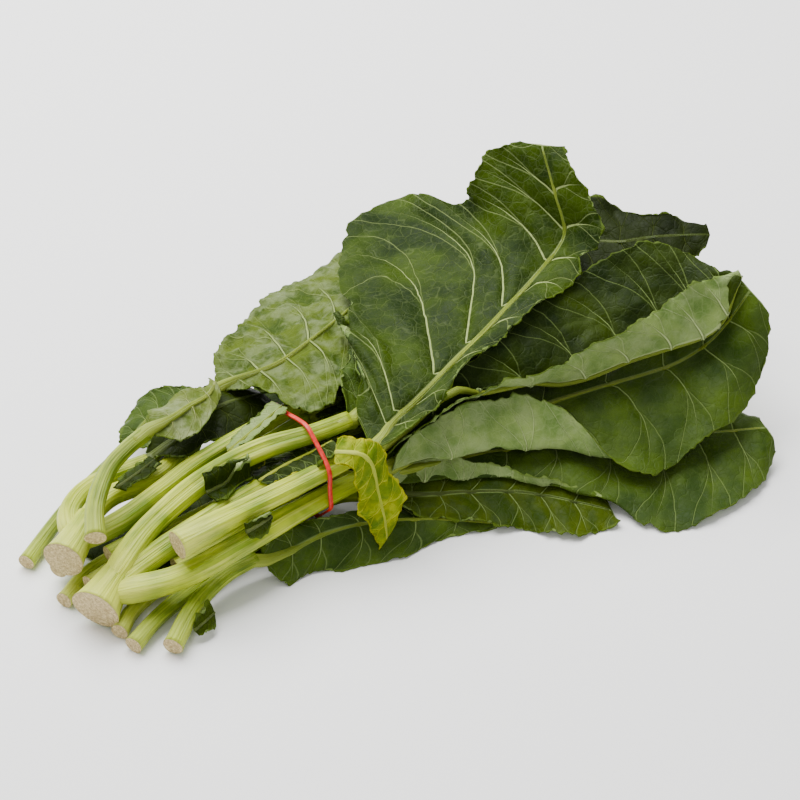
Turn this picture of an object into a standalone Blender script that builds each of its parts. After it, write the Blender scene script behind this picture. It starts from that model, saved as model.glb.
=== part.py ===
"""A bunch of flat-leaved kale, tied with a rubber band and lying on its side.

Lengths are in millimetres and become metres as each mesh is made.
X runs along the bunch from the cut ends to the leaf tips, Y to its left, Z up from the table.
Places are given from the table under the band. The part's own origin is at ORIGIN, where the
lowest leaf lies flat on the table.
"""

import math

import bmesh
import bpy
import numpy as np

MM = 0.001
ORIGIN = np.array([100.0, 0.0, 0.0])

# Leaves
ROWS_PER_STATION = 2
BLADE_THICKNESS = 0.9
TIP_RIB = 1.1
RIB_DEPTH = 1.5

# Stems
STEM_STEP = 12.0
STEM_GAP = 0.5
BEVEL_RESOLUTION = 2

# The pile: each blade is eased up off what lies under it
CELL = 2.0
PILE_LOW = np.array([-170.0, -190.0])
PILE_HIGH = np.array([300.0, 150.0])
PILE_GAP = 1.2
PILE_PASSES = 3
BLUR_PASSES = 2
FIRST_OVER_STEMS = "leaf_far_left"

# The rubber band, which leans: its X changes by this much for each millimetre of Y
BAND_LEAN = 0.22
BAND_WIDTH = 3.2
BAND_THICKNESS = 1.3
BAND_CLEARANCE = 0.9
BAND_POINTS = 40

DARK = ("leaf_dark", (0.035, 0.085, 0.018), 0.45)
PALE = ("leaf_pale", (0.17, 0.23, 0.10), 0.60)
YELLOW = ("leaf_yellow", (0.30, 0.33, 0.02), 0.50)
STEM = ("stem", (0.45, 0.50, 0.16), 0.40)
RUBBER = ("rubber", (0.60, 0.03, 0.02), 0.45)

# Each stem: the middle of its cut end, then points along it, with its first and last radius.
# A stalk holds several leaf stems that part from one butt.
STEMS = {
    "stem_far_left": [([(-144, 51, 5), (-109, 67, 8), (-79, 76, 12), (-54, 81, 16)], 4.4, 3.6)],
    "stem_flag": [([(-129, 5, 43), (-117, 20, 49), (-99, 33, 54), (-84, 37, 58), (-69, 39, 60)], 5.4, 4.6)],
    "stalk_a": [
        ([(-141, 19, 26), (-128, 26, 27), (-112, 36, 28)], 10.5, 7.0),
        ([(-128, 31, 28), (-118, 46, 27), (-102, 56, 26), (-84, 56, 28), (-62, 48, 32)], 6.5, 4.2),
        ([(-130, 24, 27), (-103, 19, 31), (-77, 18, 37), (-45, 18, 43), (0, 15, 48), (16, 14, 49)], 6.5, 4.8),
        ([(-118, 33, 28), (-95, 40, 30), (-64, 36, 30), (-34, 44, 36), (-14, 51, 46)], 6.5, 4.4),
    ],
    "stem_low_a": [([(-138, 30, 10), (-112, 38, 11), (-60, 32, 13), (0, 25, 14), (20, 29, 13)], 4.8, 3.8)],
    "stem_low_b": [([(-147, 13, 5), (-118, 22, 6), (-60, 18, 7), (0, 13, 8), (12, 16, 8)], 4.6, 3.8)],
    "stem_low_c": [([(-134, 8, 12), (-105, 10, 12), (-60, 4, 17), (0, 3, 21), (30, 2, 22)], 4.4, 4.2)],
    "stem_mid_a": [([(-118, 11, 21), (-90, 10, 23), (-62, 15, 28), (-35, 20, 30), (0, 18, 32), (24, 16, 36)], 4.8, 4.4)],
    "stalk_b": [
        ([(-145, -13, 15), (-133, -8, 18), (-118, -3, 23)], 12.5, 8.0),
        ([(-133, -8, 20), (-97, 2, 33), (-59, 2, 45), (-28, -7, 54), (0, -18, 57), (22, -22, 57)], 7.5, 5.0),
        ([(-133, -13, 18), (-104, -32, 25), (-69, -38, 30), (-34, -37, 30), (0, -37, 29), (29, -43, 33)], 7.5, 5.2),
        ([(-133, -9, 19), (-102, -10, 26), (-69, -13, 33), (-38, -17, 39), (0, -22, 43), (24, -41, 44)], 7.0, 4.6),
    ],
    "stem_centre": [([(-101, -28, 43), (-69, -31, 45), (-24, -34, 45), (0, -37, 47), (15, -44, 54)], 7.4, 5.2)],
    "stem_mid_b": [([(-96, -18, 18), (-60, -22, 21), (0, -19, 28), (14, -30, 26), (26, -38, 23)], 5.2, 4.0)],
    "stem_low_d": [([(-140, -26, 5), (-118, -16, 6), (-60, -8, 8), (-4, -2, 9), (12, 2, 9)], 4.6, 3.8)],
    "stem_low_e": [([(-141, -39, 5), (-113, -31, 7), (-60, -24, 8), (0, -26, 14), (24, -40, 15)], 4.8, 3.8)],
    "stem_low_f": [([(-127, -54, 6), (-102, -41, 10), (-78, -36, 13), (-57, -37, 14)], 5.4, 4.0)],
}

# Each leaf: lines from base to tip, across the blade from its left edge to its right.
# All lines of a leaf have one point at each station, and "rib" is the number of the midrib.
LEAVES = {
    "leaf_floor": dict(look=PALE, rib=1, radius=3.2, flipped=True, ruffle=(0, 55), lines=[
        [(18, 22, 5), (50, 50, 0), (90, 62, 0), (130, 62, 0), (170, 44, 0), (192, 20, 1)],
        [(17, 16, 4), (56, 15, 0), (96, 14, 0), (134, 8, 0), (172, -2, 0), (204, -16, 3)],
        [(19, 11, 5), (54, -16, 0), (92, -32, 0), (130, -42, 0), (166, -46, 0), (196, -40, 1)],
    ]),
    "leaf_skirt": dict(look=DARK, rib=1, radius=3.2, ruffle=(0.6, 40), lines=[
        [(-52, -35, 17), (-38, -37, 21), (-20, -40, 22), (-2, -46, 20), (30, -45, 9), (54, -56, 8), (70, -94, 3)],
        [(-53, -40, 12), (-38, -45, 14), (-20, -47, 15), (4, -51, 12), (32, -64, 8), (50, -78, 6), (69, -95, 3)],
        [(-54, -44, 8), (-48, -54, 1), (-34, -55, 0), (-14, -64, 0), (12, -76, 0), (43, -82, 0), (66, -94, 1)],
    ]),
    "leaf_low": dict(look=DARK, rib=1, radius=3.2, ruffle=(2, 40), lines=[
        [(32, -38, 17), (54, -46, 18), (83, -58, 16), (104, -76, 14), (118, -98, 11), (124, -118, 6)],
        [(28, -42, 15), (44, -58, 15), (63, -69, 13), (86, -86, 11), (102, -105, 9), (121, -128, 4)],
        [(24, -46, 14), (36, -66, 6), (58, -87, 2), (78, -108, 0), (90, -130, 0), (118, -135, 1)],
    ]),
    "leaf_back_left": dict(look=DARK, rib=1, radius=3.6, ruffle=(3, 50), lines=[
        [(20, 36, 13), (44, 84, 6), (84, 112, 1), (120, 118, 2), (150, 112, 4)],
        [(22, 30, 13), (60, 56, 18), (96, 74, 18), (130, 88, 14), (160, 98, 6)],
        [(24, 24, 13), (70, 30, 16), (116, 40, 16), (150, 56, 12), (168, 84, 6)],
    ]),
    "leaf_outer": dict(look=DARK, rib=1, radius=3.8, ruffle=(3, 60), lines=[
        [(32, -34, 23), (64, -30, 24), (104, -36, 24), (138, -48, 24), (170, -64, 22), (198, -88, 20), (216, -112, 20),
         (224, -140, 22)],
        [(28, -39, 22), (58, -50, 21), (90, -60, 19), (122, -74, 17), (155, -92, 15), (182, -112, 14), (206, -130, 15),
         (222, -148, 20)],
        [(27, -44, 21), (52, -58, 16), (74, -70, 11), (96, -90, 8), (117, -121, 4), (146, -149, 3), (192, -156, 6),
         (222, -155, 16)],
        [(30, -44, 26), (62, -48, 28), (80, -66, 23), (99, -89, 16), (120, -125, 6), (138, -162, 0), (184, -168, 2),
         (220, -161, 10)],
    ]),
    "leaf_inside": dict(look=DARK, rib=1, radius=3.4, ruffle=(2, 50), lines=[
        [(34, 8, 24), (74, 34, 28), (124, 44, 30), (168, 30, 34), (206, 8, 42), (232, -8, 52)],
        [(32, 2, 22), (74, -2, 22), (124, -8, 24), (168, -16, 30), (206, -24, 39), (236, -30, 52)],
        [(34, -4, 24), (74, -28, 26), (124, -34, 28), (168, -44, 30), (206, -52, 40), (236, -48, 50)],
    ]),
    "leaf_core": dict(look=DARK, rib=1, radius=3.2, ruffle=(2, 45), lines=[
        [(28, 23, 38), (64, 38, 38), (104, 42, 40), (146, 30, 44)],
        [(27, 16, 37), (66, 14, 36), (108, 10, 38), (150, 4, 44)],
        [(28, 9, 38), (66, -8, 38), (106, -14, 40), (146, -12, 46)],
    ]),
    "leaf_side": dict(look=DARK, rib=1, radius=4.2, ruffle=(3, 60), lines=[
        [(33, -38, 34), (64, -30, 37), (106, -30, 39), (152, -30, 40), (190, -38, 42), (218, -62, 56), (232, -91, 77),
         (239, -104, 92)],
        [(30, -43, 33), (60, -48, 34), (94, -55, 35), (130, -64, 36), (168, -77, 38), (204, -91, 41), (226, -102, 56),
         (240, -112, 86)],
        [(31, -47, 33), (62, -62, 31), (94, -78, 27), (120, -96, 21), (150, -118, 20), (190, -122, 28), (226, -125, 52),
         (241, -120, 82)],
        [(34, -47, 42), (64, -46, 50), (100, -56, 52), (126, -78, 46), (142, -127, 16), (182, -135, 24), (230, -134, 38),
         (242, -126, 76)],
    ]),
    "leaf_far": dict(look=DARK, rib=1, radius=3.0, ruffle=(4, 40), lines=[
        [(150, 20, 50), (200, 30, 63), (246, 30, 71), (254, 9, 76), (263, -14, 79), (272, -30, 80), (280, -43, 79)],
        [(150, 10, 46), (196, 8, 56), (228, 8, 62), (240, -12, 68), (252, -26, 73), (264, -40, 76), (276, -50, 76)],
        [(150, -2, 48), (196, -14, 52), (206, -28, 54), (220, -48, 54), (238, -54, 60), (256, -50, 69), (268, -54, 74)],
    ]),
    "leaf_cup": dict(look=DARK, rib=1, radius=3.6, ruffle=(1.5, 45), lines=[
        [(28, -42, 46), (56, -42, 54), (84, -46, 62), (112, -44, 68), (146, -39, 72), (176, -37, 76), (204, -40, 86),
         (226, -46, 94), (236, -72, 88), (236, -90, 82)],
        [(25, -44, 44), (62, -46, 43), (92, -50, 43), (122, -61, 45), (152, -73, 48), (176, -82, 53), (196, -91, 60),
         (212, -97, 66), (226, -98, 73), (236, -95, 80)],
        [(26, -49, 48), (55, -50, 56), (80, -54, 62), (106, -62, 63), (136, -70, 66), (160, -77, 70), (184, -84, 77),
         (204, -87, 84), (220, -90, 86), (234, -97, 83)],
    ]),
    "leaflet_strip": dict(look=DARK, rib=1, radius=1.2, ruffle=(0, 30), lines=[
        [(-94, 37, 38), (-79, 42, 39), (-65, 44, 40)],
        [(-93, 34, 40), (-78, 36, 40), (-64, 38, 41)],
        [(-91, 29, 39), (-77, 29, 40), (-64, 31, 41)],
    ]),
    "leaf_far_left": dict(look=DARK, rib=1, radius=3.2, ruffle=(1.5, 30), lines=[
        [(-54, 86, 18), (-42, 94, 20), (-22, 106, 23), (-10, 94, 30), (-4, 80, 35)],
        [(-51, 82, 16), (-38, 86, 21), (-26, 86, 25), (-14, 78, 30), (-6, 72, 34)],
        [(-51, 78, 17), (-42, 70, 18), (-32, 65, 20), (-20, 61, 26), (-10, 63, 31)],
    ]),
    "leaf_tucked": dict(look=DARK, rib=1, radius=3.0, ruffle=(1, 30), lines=[
        [(-60, 53, 34), (-46, 57, 45), (-30, 60, 52), (-15, 57, 54)],
        [(-60, 48, 33), (-46, 42, 43), (-27, 42, 50), (-8, 38, 55)],
        [(-59, 43, 34), (-50, 31, 38), (-28, 25, 44), (-5, 25, 47)],
    ]),
    "leaf_between": dict(look=DARK, rib=1, radius=3.6, ruffle=(2, 60), lines=[
        [(18, 20, 50), (50, 54, 46), (90, 72, 42), (130, 80, 44), (164, 72, 52)],
        [(18, 14, 49), (56, 22, 48), (96, 30, 48), (136, 36, 50), (172, 42, 56)],
        [(20, 8, 50), (60, -6, 50), (100, -8, 52), (140, 0, 54), (174, 22, 58)],
    ]),
    "leaf_flag": dict(look=PALE, rib=1, radius=4.0, flipped=True, ruffle=(1, 30), lines=[
        [(-66, 43, 61), (-54, 49, 61), (-38, 53, 61), (-24, 50, 60), (-11, 56, 58)],
        [(-66, 39, 60), (-53, 37, 62), (-38, 39, 62), (-25, 41, 61), (-13, 49, 59)],
        [(-66, 35, 60), (-60, 28, 57), (-49, 23, 57), (-30, 31, 58), (-15, 41, 58)],
    ]),
    "leaf_back": dict(look=PALE, rib=1, radius=4.0, flipped=True, ruffle=(2.5, 40), lines=[
        [(-7, 56, 52), (6, 72, 50), (30, 92, 46), (72, 113, 40), (104, 114, 40), (132, 114, 42), (150, 104, 46)],
        [(-8, 51, 51), (3, 44, 57), (22, 37, 61), (48, 41, 61), (82, 50, 59), (118, 62, 56), (150, 76, 52)],
        [(-7, 46, 53), (-1, 22, 62), (5, -8, 64), (22, -10, 64), (46, 4, 62), (92, 22, 58), (140, 50, 54)],
    ]),
    "leaf_behind": dict(look=DARK, rib=1, radius=3.8, ruffle=(2.5, 35), lines=[
        [(25, -18, 58), (44, 6, 60), (66, 22, 60), (92, 24, 60)],
        [(24, -22, 57), (42, -17, 59), (64, -6, 61), (90, 4, 62)],
        [(26, -26, 58), (42, -32, 58), (66, -26, 61), (92, -12, 63)],
    ]),
    "leaf_centre": dict(look=DARK, rib=1, radius=4.4, ruffle=(2.5, 55), lines=[
        [(19, -42, 56), (28, -22, 55), (44, -6, 56), (68, 42, 52), (80, 42, 62), (104, 80, 59), (145, 114, 60),
         (178, 106, 70), (180, 64, 84), (179, 54, 98), (186, 54, 110), (196, 50, 120), (206, 38, 127)],
        [(18, -46, 56), (23, -45, 57), (29, -44, 57), (36, -42, 58), (48, -40, 60), (69, -36, 63), (92, -30, 66),
         (118, -25, 70), (148, -19, 75), (181, -11, 80), (199, -7, 90), (202, 4, 108), (209, 24, 131)],
        [(20, -50, 57), (28, -53, 59), (38, -53, 60), (48, -53, 62), (62, -51, 64), (82, -46, 68), (107, -40, 72),
         (134, -36, 75), (160, -35, 78), (188, -34, 84), (204, -31, 98), (209, -12, 116), (216, 14, 131)],
    ]),
    "leaf_wilted": dict(look=YELLOW, rib=1, radius=1.8, ruffle=(1.5, 25), lines=[
        [(2, -36, 64), (9, -48, 67), (16, -53, 62), (18, -60, 48), (21, -66, 30), (18, -68, 16)],
        [(-5, -42, 62), (2, -54, 64), (7, -59, 56), (8, -62, 40), (9, -66, 22), (8, -69, 10)],
        [(-9, -46, 59), (-4, -55, 56), (-2, -58, 42), (-4, -58, 31), (-1, -62, 18), (3, -69, 6)],
    ]),
    "leaflet_flap": dict(look=PALE, rib=1, radius=1.2, ruffle=(0, 30), lines=[
        [(-36, 12, 50), (-18, 14, 56), (-1, 14, 61)],
        [(-38, 8, 50), (-18, 7, 57), (0, 7, 62)],
        [(-37, 5, 51), (-17, 2, 58), (0, 2, 63)],
    ]),
    "leaflet_small": dict(look=DARK, rib=1, radius=1.2, ruffle=(0, 30), lines=[
        [(-62, 0, 44), (-50, -4, 46), (-38, -9, 46)],
        [(-64, -6, 44), (-52, -9, 45), (-38, -11, 46)],
        [(-63, -13, 42), (-54, -14, 43), (-39, -14, 45)],
    ]),
    "leaflet_side": dict(look=DARK, rib=1, radius=1.2, ruffle=(0, 30), lines=[
        [(-66, -40, 46), (-57, -41, 47), (-50, -41, 46)],
        [(-67, -43, 42), (-57, -44, 43), (-49, -43, 43)],
        [(-66, -44, 38), (-57, -46, 38), (-50, -44, 41)],
    ]),
    "leaflet_table": dict(look=DARK, rib=1, radius=0.8, ruffle=(0, 30), lines=[
        [(-110, -52, 12), (-103, -50, 13), (-96, -48, 13)],
        [(-112, -54, 8), (-104, -53, 9), (-96, -51, 9)],
        [(-111, -56, 5), (-104, -56, 6), (-98, -54, 6)],
    ]),
    "leaflet_curl": dict(look=YELLOW, rib=1, radius=1.2, ruffle=(1, 14), lines=[
        [(-36, -15, 47), (-22, -19, 50), (-8, -24, 52)],
        [(-36, -20, 46), (-22, -25, 48), (-8, -28, 51)],
        [(-35, -25, 46), (-21, -30, 48), (-8, -33, 51)],
    ]),
}


def smooth_path(points, count):
    """A curve through the points, as count places at even steps of the points' own numbering."""
    p = np.array(points, float)
    p = np.concatenate([2 * p[:1] - p[1:2], p, 2 * p[-1:] - p[-2:-1]])
    t = np.linspace(0, len(points) - 1, count)
    k = np.minimum(t.astype(int), len(points) - 2)
    t = (t - k).reshape(-1, *[1] * (p.ndim - 1))
    a, b, c, d = p[k], p[k + 1], p[k + 2], p[k + 3]
    return b + 0.5 * t * (c - a + t * (2 * a - 5 * b + 4 * c - d + t * (3 * (b - c) + d - a)))


def even_path(points, step):
    """The same curve with its places about one step apart."""
    fine = smooth_path(points, 24 * len(points))
    along = np.concatenate([[0], np.cumsum(np.linalg.norm(np.diff(fine, axis=0), axis=1))])
    count = max(3, round(along[-1] / step) + 1)
    return np.stack([np.interp(np.linspace(0, along[-1], count), along, fine[:, k]) for k in range(3)], 1)


def in_part(place):
    """A place in millimetres from under the band, in metres from the part's origin."""
    return (np.array(place) - ORIGIN) * MM


def unit(v):
    return v / np.maximum(np.linalg.norm(v, axis=-1, keepdims=True), 1e-9)


def surface_normals(grid):
    """Normals of a grid of places, rows from base to tip and columns from left to right."""
    along = np.gradient(grid, axis=0)
    across = np.gradient(grid, axis=1)
    return unit(np.cross(across, along))


def blade_grid(leaf):
    """The upper face of a blade, as rows of places, and its thickness at each."""
    lines = np.array(leaf["lines"], float)
    rows = (lines.shape[1] - 1) * ROWS_PER_STATION + 1
    net = np.stack([smooth_path(line, rows) for line in lines], 1)
    net[..., 2] = np.maximum(net[..., 2], 0)
    rib = leaf["rib"]
    share = np.linspace(0, 1, rows)
    rib_radius = leaf["radius"] + (TIP_RIB - leaf["radius"]) * share
    left = cross_columns(net[:, rib::-1], rib_radius)[:, ::-1]
    right = cross_columns(net[:, rib:], rib_radius)
    grid = np.concatenate([left, net[:, rib:rib + 1], right], 1)
    middle = left.shape[1]
    thick = np.full(grid.shape[:2], BLADE_THICKNESS)
    thick[:, middle] = RIB_DEPTH * rib_radius + BLADE_THICKNESS
    edge = np.abs(np.arange(grid.shape[1]) - middle)
    edge = np.where(np.arange(grid.shape[1]) < middle, edge / middle, edge / right.shape[1])
    height, wave = leaf["ruffle"]
    along = np.concatenate([[0], np.cumsum(np.linalg.norm(np.diff(net[:, rib], axis=0), axis=1))])
    swing = np.sin(2 * math.pi * along / wave)[:, None] * edge[None] ** 3
    fade = np.minimum(1, 6 * share * (1.0 - 0.6 * share))[:, None]
    grid = grid + surface_normals(grid) * (height * swing * fade)[..., None]
    return grid, thick


def cross_columns(half, rib_radius):
    """Places across half a blade, out from the rib, closer together where it is folded."""
    lines = half.shape[1]
    folded = lines > 2
    shares = (0.25, 0.5, 0.8, 1.0) if not folded else (0.3, 0.6, 0.85, 1.0, 1.15, 1.5, 2.0)
    width = np.linalg.norm(half[:, 1] - half[:, 0], axis=1)
    near = np.clip(rib_radius / np.maximum(width, 1e-6), 0.05, 0.2)
    columns = [half[:, 0] + (half[:, 1] - half[:, 0]) * near[:, None]]
    for share in shares:
        if share <= 1.0 and not folded:
            columns.append(half[:, 0] + (half[:, 1] - half[:, 0]) * share)
            continue
        columns.append(np.stack([fold_place(row, share) for row in half]))
    return np.stack(columns, 1)


def fold_place(row, share):
    """A place on the line rib, crease, edge, rounded off at the crease."""
    rib, crease, edge = row
    reach = 0.3
    if share < 1 - reach:
        return rib + (crease - rib) * share
    if share > 1 + reach:
        return crease + (edge - crease) * (share - 1)
    start = rib + (crease - rib) * (1 - reach)
    end = crease + (edge - crease) * reach
    t = (share - 1 + reach) / (2 * reach)
    return (1 - t) ** 2 * start + 2 * t * (1 - t) * crease + t**2 * end


class Pile:
    """How high everything laid down so far reaches, cell by cell over the table."""

    def __init__(self):
        self.size = ((PILE_HIGH - PILE_LOW) / CELL).astype(int)
        self.top = np.zeros(self.size)

    def cells(self, triangle):
        """The cells under a triangle, with its height and corner weights at each."""
        flat = (triangle[:, :2] - PILE_LOW) / CELL
        low = np.maximum(np.floor(flat.min(0)).astype(int), 0)
        high = np.minimum(np.ceil(flat.max(0)).astype(int) + 1, self.size)
        x, y = np.meshgrid(np.arange(low[0], high[0]), np.arange(low[1], high[1]), indexing="ij")
        a, b, c = flat
        area = (b[0] - a[0]) * (c[1] - a[1]) - (b[1] - a[1]) * (c[0] - a[0])
        if abs(area) < 1e-6:
            return None
        v = ((x - a[0]) * (c[1] - a[1]) - (y - a[1]) * (c[0] - a[0])) / area
        w = ((b[0] - a[0]) * (y - a[1]) - (b[1] - a[1]) * (x - a[0])) / area
        inside = (v > -0.02) & (w > -0.02) & (v + w < 1.02)
        u, v, w = 1 - v[inside] - w[inside], v[inside], w[inside]
        return x[inside], y[inside], u * triangle[0, 2] + v * triangle[1, 2] + w * triangle[2, 2]

    def add_tube(self, path, radii):
        """Count a round stem as part of the pile, short of its last end, where its leaf begins."""
        x, y = np.meshgrid(*[np.arange(n) for n in self.size], indexing="ij")
        for place, radius in zip(path, radii):
            if np.linalg.norm(place - path[-1]) < radius:
                break
            low = np.floor((place[:2] - radius - PILE_LOW) / CELL).astype(int)
            high = np.ceil((place[:2] + radius - PILE_LOW) / CELL).astype(int) + 1
            near = (slice(low[0], high[0]), slice(low[1], high[1]))
            away = ((x[near] * CELL + PILE_LOW[0] - place[0])**2 + (y[near] * CELL + PILE_LOW[1] - place[1])**2)
            rise = np.sqrt(np.maximum(radius**2 - away, 0))
            self.top[near] = np.maximum(self.top[near], np.where(away < radius**2, place[2] + rise, 0))

    def add(self, places, triangles):
        for triangle in triangles:
            found = self.cells(places[triangle])
            if found:
                x, y, z = found
                np.maximum.at(self.top, (x, y), z)

    def lift_needed(self, places, triangles):
        """How far each place has to rise to clear the pile."""
        need = np.maximum(0, -places[:, 2])
        for triangle in triangles:
            found = self.cells(places[triangle])
            if found:
                x, y, z = found
                top = self.top[x, y]
                short = np.where(top > 0, top + PILE_GAP - z, -z)
                if len(short) and short.max() > 0:
                    need[triangle] = np.maximum(need[triangle], short.max())
        return need


def grid_triangles(rows, columns):
    corner = np.arange(rows * columns).reshape(rows, columns)
    a, b = corner[:-1, :-1].ravel(), corner[:-1, 1:].ravel()
    c, d = corner[1:, 1:].ravel(), corner[1:, :-1].ravel()
    return np.concatenate([np.stack([a, b, c], 1), np.stack([a, c, d], 1)])


def lay_on_pile(grid, thick, pile, flipped):
    """Ease a blade up until it clears the pile, then count it as part of the pile."""
    rows, columns = thick.shape
    triangles = grid_triangles(rows, columns)
    for _ in range(PILE_PASSES):
        normals = surface_normals(grid)
        over, under = (thick, 0 * thick) if flipped else (0 * thick, thick)
        faces = [grid + normals * over[..., None], grid - normals * under[..., None]]
        need = np.zeros(rows * columns)
        for face in faces:
            need = np.maximum(need, pile.lift_needed(face.reshape(-1, 3), triangles))
        need = need.reshape(rows, columns)
        lift = need.copy()
        for _ in range(BLUR_PASSES):
            wide = np.pad(lift, 1, mode="edge")
            mean = (wide[:-2, 1:-1] + wide[2:, 1:-1] + wide[1:-1, :-2] + wide[1:-1, 2:]) / 4
            lift = np.maximum(need, mean)
        grid = grid + lift[..., None] * np.array([0, 0, 1.0])
    normals = surface_normals(grid)
    for face in (grid + normals * over[..., None], grid - normals * under[..., None]):
        pile.add(face.reshape(-1, 3), triangles)
    return grid


def material(look):
    name, colour, roughness = look
    made = bpy.data.materials.get(name) or bpy.data.materials.new(name)
    made.use_nodes = True
    shader = made.node_tree.nodes["Principled BSDF"]
    shader.inputs["Base Color"].default_value = (*colour, 1)
    shader.inputs["Roughness"].default_value = roughness
    return made


def add_object(name, data, look, collection):
    data.materials.append(material(look))
    made = bpy.data.objects.new(name, data)
    collection.objects.link(made)
    return made


def add_blade(name, leaf, grid, thick, collection):
    """A grid laid into the blade's shape, thickened below, or above where the leaf lies face down."""
    rows, columns = thick.shape
    shape = bmesh.new()
    bmesh.ops.create_grid(shape, x_segments=columns - 1, y_segments=rows - 1, size=1)
    shape.verts.ensure_lookup_table()
    for vertex, place in zip(shape.verts, grid.reshape(-1, 3)):
        vertex.co = in_part(place)
    for face in shape.faces[:]:
        corners = sorted(face.verts, key=lambda v: v.index)
        bmesh.utils.face_split(face, corners[0], corners[3])
    mesh = bpy.data.meshes.new(name)
    shape.to_mesh(mesh)
    shape.free()
    mesh.shade_smooth()
    blade = add_object(name, mesh, leaf["look"], collection)
    depth = blade.vertex_groups.new(name="depth")
    deepest = thick.max()
    for number, share in enumerate((thick / deepest).ravel()):
        depth.add([number], float(share), "REPLACE")
    wall = blade.modifiers.new("thickness", "SOLIDIFY")
    wall.thickness = deepest * MM
    wall.vertex_group = depth.name
    wall.offset = 1 if leaf.get("flipped") else -1
    return blade


def stem_curve(name, points, first_radius, last_radius, collection):
    """A leaf stem as a tapered round tube, closed at both ends."""
    path = even_path(points, STEM_STEP)
    curve = bpy.data.curves.new(name, "CURVE")
    curve.dimensions = "3D"
    curve.bevel_depth = MM
    curve.bevel_resolution = BEVEL_RESOLUTION
    curve.use_fill_caps = True
    spline = curve.splines.new("POLY")
    spline.points.add(len(path) - 1)
    for point, place, share in zip(spline.points, path, np.linspace(0, 1, len(path))):
        point.co = (*in_part(place), 1)
        point.radius = first_radius + (last_radius - first_radius) * share
    return add_object(name, curve, STEM, collection)


def as_mesh(curved, collection):
    """The curve's tube as a closed mesh object, in the curve's place."""
    view = bpy.context.evaluated_depsgraph_get()
    mesh = bpy.data.meshes.new_from_object(curved.evaluated_get(view))
    shape = bmesh.new()
    shape.from_mesh(mesh)
    bmesh.ops.remove_doubles(shape, verts=shape.verts, dist=0.01 * MM)
    shape.to_mesh(mesh)
    shape.free()
    name = curved.name
    bpy.data.objects.remove(curved)
    made = bpy.data.objects.new(name, mesh)
    collection.objects.link(made)
    return made


def add_stalk(name, branches, collection):
    """A butt with its leaf stems, joined into one body."""
    parts = [stem_curve(f"{name}_{k}", *branch, collection) for k, branch in enumerate(branches)]
    bpy.context.view_layer.update()
    parts = [as_mesh(part, collection) for part in parts]
    if len(parts) == 1:
        parts[0].name = name
        return parts[0]
    stalk, *others = parts
    stalk.name = name
    branch_set = bpy.data.collections.new(f"{name}_branches")
    for other in others:
        collection.objects.unlink(other)
        branch_set.objects.link(other)
    bpy.context.scene.collection.children.link(branch_set)
    join = stalk.modifiers.new("join", "BOOLEAN")
    join.operation = "UNION"
    join.operand_type = "COLLECTION"
    join.collection = branch_set
    bpy.context.view_layer.update()
    view = bpy.context.evaluated_depsgraph_get()
    joined = bpy.data.meshes.new_from_object(stalk.evaluated_get(view))
    stalk.modifiers.clear()
    stalk.data = joined
    for other in others:
        bpy.data.objects.remove(other)
    bpy.data.collections.remove(branch_set)
    return stalk


def stem_rings_at_band():
    """Where the stems' round sections stand in the leaning plane of the band, with their radii."""
    rings = []
    for branches in STEMS.values():
        for points, first, last in branches:
            path = even_path(points, 1.0)
            ahead = path[:, 0] - BAND_LEAN * path[:, 1]
            if not ahead[0] < 0 < ahead[-1]:
                continue
            for aside in (-BAND_WIDTH, 0, BAND_WIDTH):
                k = int(np.argmin(abs(ahead - aside)))
                rings.append((path[k, 1:], first + (last - first) * k / len(path)))
    return rings


def add_band(collection):
    """A flat elastic band drawn tight round the stems, as a loop of even width."""
    reach = BAND_CLEARANCE
    rings = stem_rings_at_band()
    angles = np.linspace(0, 2 * math.pi, 8 * BAND_POINTS, endpoint=False)
    ways = np.stack([np.cos(angles), np.sin(angles)], 1)
    rim = np.array([max(rings, key=lambda ring: ring[0] @ way + ring[1]) for way in ways], dtype=object)
    rim = np.stack([centre + (radius + reach) * way for (centre, radius), way in zip(rim, ways)])
    loop = np.concatenate([rim, rim[:1]])
    along = np.concatenate([[0], np.cumsum(np.linalg.norm(np.diff(loop, axis=0), axis=1))])
    where = np.linspace(0, along[-1], BAND_POINTS, endpoint=False)
    loop = np.stack([np.interp(where, along, loop[:, k]) for k in range(2)], 1)
    shape = bmesh.new()
    rings = []
    for aside in (-BAND_WIDTH / 2, BAND_WIDTH / 2):
        rings.append([shape.verts.new(in_part((aside + BAND_LEAN * y, y, z))) for y, z in loop])
    for k in range(BAND_POINTS):
        n = (k + 1) % BAND_POINTS
        shape.faces.new((rings[0][k], rings[0][n], rings[1][n], rings[1][k]))
    bmesh.ops.recalc_face_normals(shape, faces=shape.faces)
    mesh = bpy.data.meshes.new("rubber_band")
    shape.to_mesh(mesh)
    shape.free()
    band = add_object("rubber_band", mesh, RUBBER, collection)
    wall = band.modifiers.new("thickness", "SOLIDIFY")
    wall.thickness = BAND_THICKNESS * MM
    wall.offset = 1
    return band


def add_leaves(collection):
    """Every blade in turn, from the table up."""
    pile = Pile()
    for name, leaf in LEAVES.items():
        if name == FIRST_OVER_STEMS:
            for points, first, last in [branch for branches in STEMS.values() for branch in branches]:
                path = even_path(points, CELL)
                pile.add_tube(path, np.linspace(first, last, len(path)) + STEM_GAP)
        grid, thick = blade_grid(leaf)
        flipped = leaf.get("flipped", False)
        grid = lay_on_pile(grid, thick, pile, flipped)
        add_blade(name, leaf, grid, thick, collection)


def main():
    for old in list(bpy.data.objects):
        bpy.data.objects.remove(old)
    bunch = bpy.data.collections.new("kale_bunch")
    bpy.context.scene.collection.children.link(bunch)
    for name, branches in STEMS.items():
        stalk = add_stalk(name, branches, bunch)
        stalk.data.materials.clear()
        stalk.data.materials.append(material(STEM))
    add_band(bunch)
    add_leaves(bunch)


main()
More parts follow.
